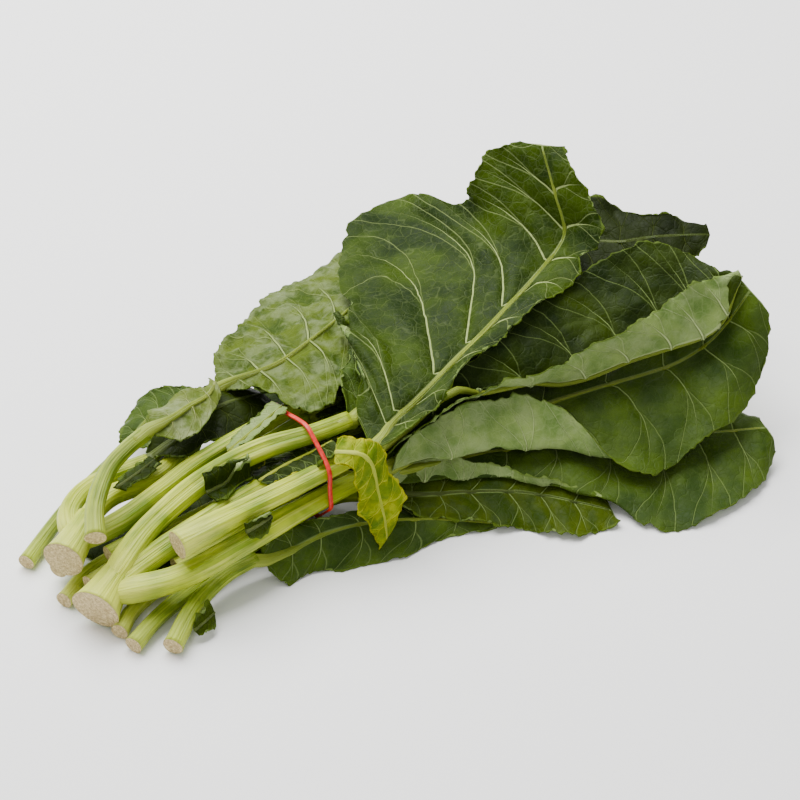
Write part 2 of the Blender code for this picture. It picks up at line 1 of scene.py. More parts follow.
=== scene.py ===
"""A bunch of flat-leaved kale with a rubber band round its stems, dressed for the camera."""
import math

import bmesh
import bpy
import numpy as np
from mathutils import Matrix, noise


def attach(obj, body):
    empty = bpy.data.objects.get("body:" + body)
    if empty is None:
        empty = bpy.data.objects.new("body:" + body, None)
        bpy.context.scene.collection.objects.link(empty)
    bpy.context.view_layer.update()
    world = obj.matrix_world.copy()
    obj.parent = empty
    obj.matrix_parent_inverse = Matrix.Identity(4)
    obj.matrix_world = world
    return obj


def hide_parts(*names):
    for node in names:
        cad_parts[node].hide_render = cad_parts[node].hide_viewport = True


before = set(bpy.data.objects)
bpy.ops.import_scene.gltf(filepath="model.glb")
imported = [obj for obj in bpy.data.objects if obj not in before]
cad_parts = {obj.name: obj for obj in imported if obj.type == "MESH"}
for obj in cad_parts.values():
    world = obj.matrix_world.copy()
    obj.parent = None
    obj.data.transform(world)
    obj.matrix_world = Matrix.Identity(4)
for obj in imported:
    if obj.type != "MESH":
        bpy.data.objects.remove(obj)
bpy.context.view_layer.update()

# ---- The table and the view ----
# The bunch lies on a plain white table under soft studio light, seen from its cut ends and from above.
# One wide lamp hangs above and behind the bunch, and a weaker one in front fills the shadows.

MM = 0.001
ORIGIN = np.array([100.0, 0.0, 0.0])
VIEW_TURN = math.radians(-42)
VIEW_LIFT = math.radians(38)
VIEW_DISTANCE = 1500.0
VIEW_SCALE = 1.808
BAND_IN_PICTURE = (293.5, 499.0)
PICTURE_SIDE = 800
PICTURE_MIDDLE = PICTURE_SIDE / 2
SENSOR = 36.0


def in_part(place):
    """A place in millimetres from under the band, in metres from the part's origin."""
    return (np.array(place) - ORIGIN) * MM


view_right = np.array([math.cos(VIEW_TURN), math.sin(VIEW_TURN), 0])
view_back = np.array([math.sin(VIEW_TURN) * math.cos(VIEW_LIFT), -math.cos(VIEW_TURN) * math.cos(VIEW_LIFT),
                      math.sin(VIEW_LIFT)])
view_up = np.cross(view_back, view_right)
view_middle = (view_right * (PICTURE_MIDDLE - BAND_IN_PICTURE[0])
               + view_up * (BAND_IN_PICTURE[1] - PICTURE_MIDDLE)) / VIEW_SCALE

camera = bpy.data.objects.new("camera", bpy.data.cameras.new("camera"))
camera.data.sensor_width = SENSOR
camera.data.lens = SENSOR * VIEW_SCALE * VIEW_DISTANCE / PICTURE_SIDE
camera.location = in_part(view_middle + view_back * VIEW_DISTANCE)
camera.rotation_euler = (math.pi / 2 - VIEW_LIFT, 0, VIEW_TURN)
bpy.context.scene.collection.objects.link(camera)
bpy.context.scene.camera = camera

table_shape = bmesh.new()
bmesh.ops.create_grid(table_shape, x_segments=1, y_segments=1, size=4)
table_mesh = bpy.data.meshes.new("table")
table_shape.to_mesh(table_mesh)
table_shape.free()
table = bpy.data.objects.new("table", table_mesh)
bpy.context.scene.collection.objects.link(table)
table_paint = bpy.data.materials.new("table_white")
table_paint.use_nodes = True
table_coat = table_paint.node_tree.nodes["Principled BSDF"]
table_coat.inputs["Base Color"].default_value = (0.93, 0.93, 0.92, 1)
table_coat.inputs["Roughness"].default_value = 0.7
table_mesh.materials.append(table_paint)

LAMPS = {
    "lamp_above": dict(place=(0.10, 0.9, 1.6), aim=(0.0, 0.0, 0.0), size=1.8, power=104.0),
    "lamp_front": dict(place=(-0.9, -1.1, 0.9), aim=(0.0, 0.0, 0.0), size=1.6, power=5.0),
}
for lamp_name, lamp in LAMPS.items():
    light = bpy.data.lights.new(lamp_name, "AREA")
    light.size = lamp["size"]
    light.energy = lamp["power"]
    holder = bpy.data.objects.new(lamp_name, light)
    holder.location = lamp["place"]
    away = np.array(lamp["place"]) - np.array(lamp["aim"])
    flat = math.hypot(away[0], away[1])
    holder.rotation_euler = (math.atan2(flat, away[2]), 0, math.atan2(away[0], -away[1]))
    bpy.context.scene.collection.objects.link(holder)

room = bpy.data.worlds.new("room")
room.use_nodes = True
room.node_tree.nodes["Background"].inputs["Color"].default_value = (1.0, 1.0, 1.0, 1)
room.node_tree.nodes["Background"].inputs["Strength"].default_value = 0.56
bpy.context.scene.world = room

# ---- The leaf stems ----
# A stem is the pale, juicy stalk of one leaf, cut square with a knife. Some still share a butt.
# It is round below with a shallow channel above and fine ridges along it, and swells at the cut.

STEM_RING = 28
STEM_RUN = 3.0
STEM_SWELL = 0.10
STEM_CHANNEL = 0.20
CHANNEL_SPREAD = 0.34
CHANNEL_STARTS = 2
CHANNEL_GROWS = 14
CHANNEL_ENDS = 45
STEM_RIDGES = 11
RIDGE_HEIGHT = 0.025
STEM_CORNERS = 3
CORNER_HEIGHT = 0.06
RIDGES_AT_CUT = 0.4
BUTT_FLARE = 6
STEM_WAIST = 0.04
BRANCH_PINCH = 0.42
BRANCH_ROOT = 5
STEM_GAP = 0.5

STEMS = {
    "stem_far_left": [([(-144, 51, 5), (-109, 67, 8), (-79, 76, 12), (-54, 81, 16)], 4.4, 3.6)],
    "stem_flag": [([(-129, 5, 43), (-117, 20, 49), (-99, 33, 54), (-84, 37, 58), (-69, 39, 60)], 5.4, 4.6)],
    "stalk_a": [
        ([(-141, 19, 26), (-128, 26, 27), (-112, 36, 28)], 10.5, 7.0),
        ([(-128, 31, 28), (-118, 46, 27), (-102, 56, 26), (-84, 56, 28), (-62, 48, 32)], 6.5, 4.2),
        ([(-130, 24, 27), (-103, 19, 31), (-77, 18, 37), (-45, 18, 43), (0, 15, 48), (16, 14, 49)], 6.5, 4.8),
        ([(-118, 33, 28), (-95, 40, 30), (-64, 36, 30), (-34, 44, 36), (-14, 51, 46)], 6.5, 4.4),
    ],
    "stem_low_a": [([(-138, 30, 10), (-112, 38, 11), (-60, 32, 13), (0, 25, 14), (20, 29, 13)], 4.8, 3.8)],
    "stem_low_b": [([(-147, 13, 5), (-118, 22, 6), (-60, 18, 7), (0, 13, 8), (12, 16, 8)], 4.6, 3.8)],
    "stem_low_c": [([(-134, 8, 12), (-105, 10, 12), (-60, 4, 17), (0, 3, 21), (30, 2, 22)], 4.4, 4.2)],
    "stem_mid_a": [
        ([(-118, 11, 21), (-90, 10, 23), (-62, 15, 28), (-35, 20, 30), (0, 18, 32), (24, 16, 36)], 4.8, 4.4),
    ],
    "stalk_b": [
        ([(-145, -13, 15), (-133, -8, 18), (-118, -3, 23)], 12.5, 8.0),
        ([(-133, -8, 20), (-97, 2, 33), (-59, 2, 45), (-28, -7, 54), (0, -18, 57), (22, -22, 57)], 7.5, 5.0),
        ([(-133, -13, 18), (-104, -32, 25), (-69, -38, 30), (-34, -37, 30), (0, -37, 29), (29, -43, 33)],
         7.5, 5.2),
        ([(-133, -9, 19), (-102, -10, 26), (-69, -13, 33), (-38, -17, 39), (0, -22, 43), (24, -41, 44)],
         7.0, 4.6),
    ],
    "stem_centre": [
        ([(-101, -28, 43), (-69, -31, 45), (-24, -34, 45), (0, -37, 47), (15, -44, 54)], 7.4, 5.2),
    ],
    "stem_mid_b": [([(-96, -18, 18), (-60, -22, 21), (0, -19, 28), (14, -30, 26), (26, -38, 23)], 5.2, 4.0)],
    "stem_low_d": [([(-140, -26, 5), (-118, -16, 6), (-60, -8, 8), (-4, -2, 9), (12, 2, 9)], 4.6, 3.8)],
    "stem_low_e": [([(-141, -39, 5), (-113, -31, 7), (-60, -24, 8), (0, -26, 14), (24, -40, 15)], 4.8, 3.8)],
    "stem_low_f": [([(-127, -54, 6), (-102, -41, 10), (-78, -36, 13), (-57, -37, 14)], 5.4, 4.0)],
}


def smooth_path(points, count):
    """A curve through the points, as count places at even steps of the points' own numbering."""
    p = np.array(points, float)
    p = np.concatenate([2 * p[:1] - p[1:2], p, 2 * p[-1:] - p[-2:-1]])
    t = np.linspace(0, len(points) - 1, count)
    k = np.minimum(t.astype(int), len(points) - 2)
    t = (t - k).reshape(-1, *[1] * (p.ndim - 1))
    a, b, c, d = p[k], p[k + 1], p[k + 2], p[k + 3]
    return b + 0.5 * t * (c - a + t * (2 * a - 5 * b + 4 * c - d + t * (3 * (b - c) + d - a)))


def even_path(points, step):
    """The same curve with its places about one step apart."""
    fine = smooth_path(points, 24 * len(points))
    along = np.concatenate([[0], np.cumsum(np.linalg.norm(np.diff(fine, axis=0), axis=1))])
    count = max(3, round(along[-1] / step) + 1)
    return np.stack([np.interp(np.linspace(0, along[-1], count), along, fine[:, k]) for k in range(3)], 1)


def add_piece(name, shape, skins, slot, *nodes):
    """Makes a finished shape one piece of the bunch, standing for the solids it is named with."""
    mesh = bpy.data.meshes.new(name)
    shape.to_mesh(mesh)
    shape.free()
    mesh.shade_smooth()
    for skin in skins:
        mesh.materials.append(skin)
    piece = bpy.data.objects.new(name, mesh)
    bpy.context.scene.collection.objects.link(piece)
    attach(piece, "root")
    if nodes:
        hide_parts(*nodes)
    return piece


def stalk_frames(path, upper):
    """Sideways and upward directions across a path, turning as little as they can along it."""
    ways = unit(np.gradient(path, axis=0))
    ups = []
    up = np.array(upper, float)
    for way in ways:
        up = up - way * (up @ way)
        up = up / np.linalg.norm(up)
        ups.append(up)
    ups = np.array(ups)
    return np.cross(ways, ups), ups


def round_stalk(path, radii, upper, seed, channel=STEM_CHANNEL, ring=STEM_RING, has_cut=True):
    """A grid rolled round a path and closed at both ends, with its channel, ridges and slight bends."""
    side, up = stalk_frames(path, upper)
    turn = np.linspace(0, 2 * math.pi, ring + 1)
    along = np.concatenate([[0], np.cumsum(np.linalg.norm(np.diff(path, axis=0), axis=1))])
    twist = (along / 60)[:, None]
    ridge = RIDGE_HEIGHT * np.cos(STEM_RIDGES * turn[None] + seed + twist)
    ridge = ridge + CORNER_HEIGHT * np.cos(STEM_CORNERS * turn[None] + 2 * seed + twist)
    start = np.clip((along - CHANNEL_STARTS) / CHANNEL_GROWS, 0, 1)[:, None]
    finish = np.clip((along[-1] - along) / CHANNEL_ENDS, 0.5, 1)[:, None] if has_cut else 1
    ridge = ridge * finish * (RIDGES_AT_CUT + (1 - RIDGES_AT_CUT) * start if has_cut else start)
    dip = channel * finish * (start if has_cut else 1) * np.exp(-((turn - math.pi / 2) / CHANNEL_SPREAD) ** 2)
    swell = 0.03 * np.sin(along / 17 + seed) + 0.02 * np.sin(along / 7 + 3 * seed)
    reach = np.array(radii)[:, None] * (1 + ridge - dip + swell[:, None])
    rows = path[:, None] + reach[..., None] * (
        np.cos(turn)[None, :, None] * side[:, None] + np.sin(turn)[None, :, None] * up[:, None])
    shape = bmesh.new()
    bmesh.ops.create_grid(shape, x_segments=ring, y_segments=len(path) - 1, size=1)
    streaks = shape.loops.layers.uv.new("UVMap")
    shape.verts.ensure_lookup_table()
    shape.verts.index_update()
    for vertex, place in zip(shape.verts, in_part(rows.reshape(-1, 3))):
        vertex.co = place
    for face in shape.faces:
        for loop in face.loops:
            row, column = divmod(loop.vert.index, ring + 1)
            loop[streaks].uv = (column / ring, along[row] * MM)
    bmesh.ops.remove_doubles(shape, verts=shape.verts, dist=0.001 * MM)
    rims = [edge for edge in shape.edges if edge.is_boundary]
    ends = bmesh.ops.holes_fill(shape, edges=rims, sides=0)["faces"]
    cut_middle = in_part(path[0])
    cut = min(ends, key=lambda face: np.linalg.norm(np.array(face.calc_center_median()) - cut_middle))
    bmesh.ops.recalc_face_normals(shape, faces=shape.faces)
    return shape, cut


def finish_cut(shape, cut, radius):
    """The knife's face: a thin skin round a slightly sunken, uneven middle."""
    cut.material_index = 1
    for depth, share in ((-0.02, 0.10), (-0.03, 0.25), (0.01, 0.3)):
        bmesh.ops.inset_region(shape, faces=[cut], thickness=share * radius * MM, depth=depth * radius * MM)
    faces = bmesh.ops.poke(shape, faces=[cut])["faces"]
    near = {vertex for face in faces for vertex in face.verts}
    for vertex in near:
        vertex.co += cut_grain(vertex.co) * vertex.normal


def cut_grain(place):
    return 0.7 * MM * noise.noise(place * 900)


def unit(v):
    return v / np.maximum(np.linalg.norm(v, axis=-1, keepdims=True), 1e-9)


class SkinNodes:
    """Adds shader nodes to one material and joins them up."""

    def __init__(self, name):
        self.skin = bpy.data.materials.new(name)
        self.skin.use_nodes = True
        self.tree = self.skin.node_tree
        self.shader = self.tree.nodes["Principled BSDF"]

    def feed(self, socket, value):
        if isinstance(value, bpy.types.NodeSocket):
            self.tree.links.new(value, socket)
        elif isinstance(value, tuple) and len(value) == 3 and socket.type == "RGBA":
            socket.default_value = (*value, 1)
        else:
            socket.default_value = value

    def add(self, kind, settings=(), **inputs):
        node = self.tree.nodes.new(kind)
        for key, value in dict(settings).items():
            setattr(node, key, value)
        for key, value in inputs.items():
            self.feed(node.inputs[key.replace("_", " ")], value)
        return node

    def maths(self, operation, *values):
        node = self.tree.nodes.new("ShaderNodeMath")
        node.operation = operation
        for socket, value in zip(node.inputs, values):
            self.feed(socket, value)
        return node.outputs[0]

    def spread(self, value, low, high, to_low=0.0, to_high=1.0):
        """Where the value runs from low to high, eased between the two ends."""
        node = self.tree.nodes.new("ShaderNodeMapRange")
        node.interpolation_type = "SMOOTHSTEP"
        for key, given in (("Value", value), ("From Min", low), ("From Max", high), ("To Min", to_low),
                           ("To Max", to_high)):
            self.feed(node.inputs[key], given)
        return node.outputs["Result"]

    def blend(self, share, first, second, how="MIX"):
        node = self.tree.nodes.new("ShaderNodeMix")
        node.data_type = "RGBA"
        node.blend_type = how
        self.feed(node.inputs["Factor"], share)
        self.feed(node.inputs[6], first)
        self.feed(node.inputs[7], second)
        return node.outputs[2]

    def clouds(self, where, scale, detail=3.0, roughness=0.55):
        return self.add("ShaderNodeTexNoise", Vector=where, Scale=scale, Detail=detail,
                        Roughness=roughness).outputs["Fac"]

    def cells(self, where, scale, feature="DISTANCE_TO_EDGE"):
        return self.add("ShaderNodeTexVoronoi", settings={"feature": feature}, Vector=where,
                        Scale=scale).outputs["Distance"]

    def place(self):
        return self.add("ShaderNodeTexCoord").outputs["Object"]

    def attribute(self, name):
        return self.add("ShaderNodeAttribute", settings={"attribute_name": name}).outputs["Fac"]

    def raise_by(self, height, distance, strength=1.0):
        bump = self.add("ShaderNodeBump", Height=height, Distance=distance, Strength=strength)
        self.feed(self.shader.inputs["Normal"], bump.outputs["Normal"])

    def finish(self, colour, roughness, **plain):
        self.feed(self.shader.inputs["Base Color"], colour)
        self.feed(self.shader.inputs["Roughness"], roughness)
        for key, value in plain.items():
            self.shader.inputs[key.replace("_", " ")].default_value = value
        return self.skin


def stalk_skin(name, pale, green, white):
    """Smooth, juicy skin with fine streaks along it, greener in patches and whitish towards the butt."""
    nodes = SkinNodes(name)
    unrolled = nodes.add("ShaderNodeUVMap", settings={"uv_map": "UVMap"}).outputs["UV"]
    ways = nodes.add("ShaderNodeSeparateXYZ", Vector=unrolled).outputs
    reach = ways["Y"]
    round_way = nodes.maths("PINGPONG", ways["X"], 0.5)
    roll = nodes.add("ShaderNodeCombineXYZ", X=round_way, Y=reach).outputs["Vector"]
    streak_place = nodes.add("ShaderNodeMapping", Vector=roll, Scale=(13.0, 14.0, 1.0)).outputs["Vector"]
    streaks = nodes.clouds(streak_place, 1.0, 4.0, 0.6)
    where = nodes.place()
    patches = nodes.clouds(where, 38.0, 3.0)
    base = nodes.blend(nodes.spread(patches, 0.35, 0.68), pale, green)
    base = nodes.blend(nodes.spread(streaks, 0.44, 0.66, 0.0, 0.6), base, white)
    line_place = nodes.add("ShaderNodeMapping", Vector=roll, Scale=(34.0, 9.0, 1.0)).outputs["Vector"]
    lines = nodes.clouds(line_place, 1.0, 2.0)
    base = nodes.blend(nodes.spread(lines, 0.50, 0.68, 0.0, 0.5), base, green)
    base = nodes.blend(nodes.spread(reach, 0.0, 0.035, 0.5, 0.0), base, white)
    base = nodes.blend(nodes.spread(reach, 0.07, 0.15, 0.0, 0.3), base, green)
    specks = nodes.spread(nodes.clouds(where, 420.0, 2.0), 0.70, 0.78, 0.0, 0.35)
    base = nodes.blend(specks, base, (0.20, 0.22, 0.05))
    nodes.raise_by(nodes.maths("ADD", streaks, lines), 0.0012, 0.8)
    return nodes.finish(base, nodes.spread(streaks, 0.3, 0.8, 0.36, 0.52), Specular_IOR_Level=0.25,
                        Subsurface_Weight=0.06, Subsurface_Radius=(0.004, 0.004, 0.001), Subsurface_Scale=1.0)


def cut_skin():
    """The cut flesh: buff and dry, grainy and speckled with darker pits."""
    nodes = SkinNodes("stem_cut")
    where = nodes.place()
    grain = nodes.clouds(where, 700.0, 4.0, 0.7)
    flesh = nodes.blend(nodes.spread(grain, 0.35, 0.65), (0.39, 0.27, 0.11), (0.78, 0.63, 0.33))
    pits = nodes.cells(where, 900.0)
    flesh = nodes.blend(nodes.spread(pits, 0.05, 0.2, 0.45, 0.0), flesh, (0.38, 0.30, 0.11))
    nodes.raise_by(grain, 0.0008, 0.8)
    return nodes.finish(flesh, 0.75)


stem_skins = {
    "stem_pale": stalk_skin("stem_pale", (0.42, 0.50, 0.009), (0.15, 0.24, 0.002), (0.72, 0.75, 0.13)),
    "stem_green": stalk_skin("stem_green", (0.24, 0.33, 0.006), (0.08, 0.14, 0.0009), (0.52, 0.60, 0.06)),
}
stem_cut = cut_skin()
GREENER_STEMS = ("stem_far_left", "stem_flag", "stem_low_f", "stem_low_e", "stem_mid_a", "stem_low_a")
for number, (stem_name, branches) in enumerate(STEMS.items()):
    shades = stem_skins["stem_green" if stem_name in GREENER_STEMS else "stem_pale"]
    whole = bmesh.new()
    for part, (points, first_radius, last_radius) in enumerate(branches):
        path = even_path(points, STEM_RUN)
        share = np.linspace(0, 1, len(path))
        run = share * len(path) * STEM_RUN
        if part == 0:
            start = STEM_SWELL * np.exp(-run / BUTT_FLARE) - STEM_WAIST
        else:
            start = -BRANCH_PINCH * np.exp(-run / BRANCH_ROOT)
        radii = (first_radius + (last_radius - first_radius) * share) * (1 + start)
        shape, cut = round_stalk(path, radii, (0.2, -0.3, 1.0), number + 0.7 * part)
        if part == 0:
            finish_cut(shape, cut, first_radius)
        laid = bpy.data.meshes.new("stalk_part")
        shape.to_mesh(laid)
        shape.free()
        whole.from_mesh(laid)
        bpy.data.meshes.remove(laid)
    add_piece(f"{stem_name}_peeled", whole, (shades, stem_cut), "stem", stem_name)

# ---- The rubber band ----
# A thin elastic band of red rubber, cut from a tube, stretched over the stems and drawn tight by itself.
# It lies flat on the stems it crosses and bridges the gaps between them.

BAND_LEAN = 0.22
BAND_WIDTH = 3.2
BAND_THICKNESS = 1.3
BAND_CLEARANCE = 0.9
BAND_POINTS = 160
BAND_ROUNDING = 0.4


def stem_rings_at_band():
    """Where the stems' round sections stand in the leaning plane of the band, with their radii."""
    rings = []
    for branches in STEMS.values():
        for points, first, last in branches:
            path = even_path(points, 1.0)
            ahead = path[:, 0] - BAND_LEAN * path[:, 1]
            if not ahead[0] < 0 < ahead[-1]:
                continue
            for aside in (-BAND_WIDTH, 0, BAND_WIDTH):
                k = int(np.argmin(abs(ahead - aside)))
                rings.append((path[k, 1:], first + (last - first) * k / len(path)))
    return rings


band_rings = stem_rings_at_band()
band_angles = np.linspace(0, 2 * math.pi, 4 * BAND_POINTS, endpoint=False)
band_ways = np.stack([np.cos(band_angles), np.sin(band_angles)], 1)
band_rim = []
for way in band_ways:
    middle, radius = max(band_rings, key=lambda ring: ring[0] @ way + ring[1])
    band_rim.append(middle + (radius + BAND_CLEARANCE) * way)
band_loop = np.concatenate([band_rim, band_rim[:1]])
band_along = np.concatenate([[0], np.cumsum(np.linalg.norm(np.diff(band_loop, axis=0), axis=1))])
band_where = np.linspace(0, band_along[-1], BAND_POINTS, endpoint=False)
band_loop = np.stack([np.interp(band_where, band_along, band_loop[:, k]) for k in range(2)], 1)
band_shape = bmesh.new()
bmesh.ops.create_grid(band_shape, x_segments=1, y_segments=BAND_POINTS, size=1)
band_shape.verts.ensure_lookup_table()
for vertex in band_shape.verts:
    row, column = divmod(vertex.index, 2)
    y, z = band_loop[row % BAND_POINTS]
    band_turn = row * 2 * math.pi / BAND_POINTS
    slip = 0.5 * math.sin(3 * band_turn) + 0.25 * math.sin(7 * band_turn)
    vertex.co = in_part((BAND_LEAN * y + slip + (column - 0.5) * (BAND_WIDTH - 0.6), y, z))
bmesh.ops.remove_doubles(band_shape, verts=band_shape.verts, dist=0.001 * MM)
bmesh.ops.recalc_face_normals(band_shape, faces=band_shape.faces)
band_nodes = SkinNodes("band_rubber")
band_place = band_nodes.place()
band_dust = band_nodes.clouds(band_place, 500.0, 4.0, 0.65)
band_dusty = band_nodes.spread(band_dust, 0.35, 0.7)
band_red = band_nodes.blend(band_dusty, (0.51, 0.009, 0.0045), (0.75, 0.03, 0.015))
band_nodes.raise_by(band_dust, 0.0002, 0.5)
band_skin = band_nodes.finish(band_red, band_nodes.spread(band_dust, 0.3, 0.7, 0.38, 0.55))
band = add_piece("band_stretched", band_shape, (band_skin,), "rubber", "rubber_band")
band_wall = band.modifiers.new("wall", "SOLIDIFY")
band_wall.thickness = BAND_THICKNESS * MM
band_wall.offset = 1
band_edge = band.modifiers.new("edge", "BEVEL")
band_edge.width = BAND_ROUNDING * MM
band_edge.segments = 2
band_edge.limit_method = "ANGLE"

# ---- The leaf blades, and how they lie on each other ----
# A blade is a thin, waxy sheet either side of a thick midrib, with side veins that run out to its margin.
# The blades are laid from the table up, each one eased up off those that lie under it. The lines of a
# blade run from base to tip: one margin, the midrib, then the other margin or a fold and the margin past it.

ROWS_PER_STATION = 2
RIB_LINE = 1
BLADE_THICKNESS = 0.9
TIP_RIB = 1.1
RIB_DEPTH = 1.5
CELL = 2.0
PILE_LOW = np.array([-170.0, -190.0])
PILE_HIGH = np.array([300.0, 150.0])
PILE_GAP = 1.2
PILE_PASSES = 3
BLUR_PASSES = 2


def surface_normals(grid):
    """Normals of a grid of places, rows from base to tip and columns from left to right."""
    along = np.gradient(grid, axis=0)
    across = np.gradient(grid, axis=1)
    return unit(np.cross(across, along))


def blade_grid(leaf):
    """The upper face of a blade, as rows of places, and its thickness at each."""
    lines = np.array(leaf["lines"], float)
    rows = (lines.shape[1] - 1) * ROWS_PER_STATION + 1
    net = np.stack([smooth_path(line, rows) for line in lines], 1)
    net[..., 2] = np.maximum(net[..., 2], 0)
    share = np.linspace(0, 1, rows)
    rib_radius = leaf["radius"] + (TIP_RIB - leaf["radius"]) * share
    left = cross_columns(net[:, RIB_LINE::-1], rib_radius)[:, ::-1]
    right = cross_columns(net[:, RIB_LINE:], rib_radius)
    grid = np.concatenate([left, net[:, RIB_LINE:RIB_LINE + 1], right], 1)
    middle = left.shape[1]
    thick = np.full(grid.shape[:2], BLADE_THICKNESS)
    thick[:, middle] = RIB_DEPTH * rib_radius + BLADE_THICKNESS
    edge = np.abs(np.arange(grid.shape[1]) - middle)
    edge = np.where(np.arange(grid.shape[1]) < middle, edge / middle, edge / right.shape[1])
    height, wave = leaf["ruffle"]
    along = np.concatenate([[0], np.cumsum(np.linalg.norm(np.diff(net[:, RIB_LINE], axis=0), axis=1))])
    swing = np.sin(2 * math.pi * along / wave)[:, None] * edge[None] ** 3
    fade = np.minimum(1, 6 * share * (1.0 - 0.6 * share))[:, None]
    grid = grid + surface_normals(grid) * (height * swing * fade)[..., None]
    return grid, thick


def cross_columns(half, rib_radius):
    """Places across half a blade, out from the rib, closer together where it is folded."""
    lines = half.shape[1]
    folded = lines > 2
    shares = (0.25, 0.5, 0.8, 1.0) if not folded else (0.3, 0.6, 0.85, 1.0, 1.15, 1.5, 2.0)
    width = np.linalg.norm(half[:, 1] - half[:, 0], axis=1)
    near = np.clip(rib_radius / np.maximum(width, 1e-6), 0.05, 0.2)
    columns = [half[:, 0] + (half[:, 1] - half[:, 0]) * near[:, None]]
    for share in shares:
        if share <= 1.0 and not folded:
            columns.append(half[:, 0] + (half[:, 1] - half[:, 0]) * share)
            continue
        columns.append(np.stack([fold_place(row, share) for row in half]))
    return np.stack(columns, 1)


def fold_place(row, share):
    """A place on the line rib, crease, edge, rounded off at the crease."""
    rib, crease, edge = row
    reach = 0.3
    if share < 1 - reach:
        return rib + (crease - rib) * share
    if share > 1 + reach:
        return crease + (edge - crease) * (share - 1)
    start = rib + (crease - rib) * (1 - reach)
    end = crease + (edge - crease) * reach
    t = (share - 1 + reach) / (2 * reach)
    return (1 - t) ** 2 * start + 2 * t * (1 - t) * crease + t**2 * end


class Pile:
    """How high everything laid down so far reaches, cell by cell over the table."""

    def __init__(self):
        self.size = ((PILE_HIGH - PILE_LOW) / CELL).astype(int)
        self.top = np.zeros(self.size)

    def cells(self, triangle):
        """The cells under a triangle, with its height and corner weights at each."""
        flat = (triangle[:, :2] - PILE_LOW) / CELL
        low = np.maximum(np.floor(flat.min(0)).astype(int), 0)
        high = np.minimum(np.ceil(flat.max(0)).astype(int) + 1, self.size)
        x, y = np.meshgrid(np.arange(low[0], high[0]), np.arange(low[1], high[1]), indexing="ij")
        a, b, c = flat
        area = (b[0] - a[0]) * (c[1] - a[1]) - (b[1] - a[1]) * (c[0] - a[0])
        if abs(area) < 1e-6:
            return None
        v = ((x - a[0]) * (c[1] - a[1]) - (y - a[1]) * (c[0] - a[0])) / area
        w = ((b[0] - a[0]) * (y - a[1]) - (b[1] - a[1]) * (x - a[0])) / area
        inside = (v > -0.02) & (w > -0.02) & (v + w < 1.02)
        u, v, w = 1 - v[inside] - w[inside], v[inside], w[inside]
        return x[inside], y[inside], u * triangle[0, 2] + v * triangle[1, 2] + w * triangle[2, 2]

    def add_tube(self, path, radii):
        """Count a round stem as part of the pile, short of its last end, where its leaf begins."""
        x, y = np.meshgrid(*[np.arange(n) for n in self.size], indexing="ij")
        for place, radius in zip(path, radii):
            if np.linalg.norm(place - path[-1]) < radius:
                break
            low = np.floor((place[:2] - radius - PILE_LOW) / CELL).astype(int)
            high = np.ceil((place[:2] + radius - PILE_LOW) / CELL).astype(int) + 1
            near = (slice(low[0], high[0]), slice(low[1], high[1]))
            aside_x = x[near] * CELL + PILE_LOW[0] - place[0]
            aside_y = y[near] * CELL + PILE_LOW[1] - place[1]
            away = aside_x**2 + aside_y**2
            rise = np.sqrt(np.maximum(radius**2 - away, 0))
            self.top[near] = np.maximum(self.top[near], np.where(away < radius**2, place[2] + rise, 0))

    def add(self, places, triangles):
        for triangle in triangles:
            found = self.cells(places[triangle])
            if found:
                x, y, z = found
                np.maximum.at(self.top, (x, y), z)

    def lift_needed(self, places, triangles):
        """How far each place has to rise to clear the pile."""
        need = np.maximum(0, -places[:, 2])
        for triangle in triangles:
            found = self.cells(places[triangle])
            if found:
                x, y, z = found
                top = self.top[x, y]
                short = np.where(top > 0, top + PILE_GAP - z, -z)
                if len(short) and short.max() > 0:
                    need[triangle] = np.maximum(need[triangle], short.max())
        return need


def grid_triangles(rows, columns):
    corner = np.arange(rows * columns).reshape(rows, columns)
    a, b = corner[:-1, :-1].ravel(), corner[:-1, 1:].ravel()
    c, d = corner[1:, 1:].ravel(), corner[1:, :-1].ravel()
    return np.concatenate([np.stack([a, b, c], 1), np.stack([a, c, d], 1)])


def lay_on_pile(grid, thick, pile, flipped):
    """Ease a blade up until it clears the pile, then count it as part of the pile."""
    rows, columns = thick.shape
    triangles = grid_triangles(rows, columns)
    for _ in range(PILE_PASSES):
        normals = surface_normals(grid)
        over, under = (thick, 0 * thick) if flipped else (0 * thick, thick)
        faces = [grid + normals * over[..., None], grid - normals * under[..., None]]
        need = np.zeros(rows * columns)
        for face in faces:
            need = np.maximum(need, pile.lift_needed(face.reshape(-1, 3), triangles))
        need = need.reshape(rows, columns)
        lift = need.copy()
        for _ in range(BLUR_PASSES):
            wide = np.pad(lift, 1, mode="edge")
            mean = (wide[:-2, 1:-1] + wide[2:, 1:-1] + wide[1:-1, :-2] + wide[1:-1, 2:]) / 4
            lift = np.maximum(need, mean)
        grid = grid + lift[..., None] * np.array([0, 0, 1.0])
    normals = surface_normals(grid)
    for face in (grid + normals * over[..., None], grid - normals * under[..., None]):
        pile.add(face.reshape(-1, 3), triangles)
    return grid


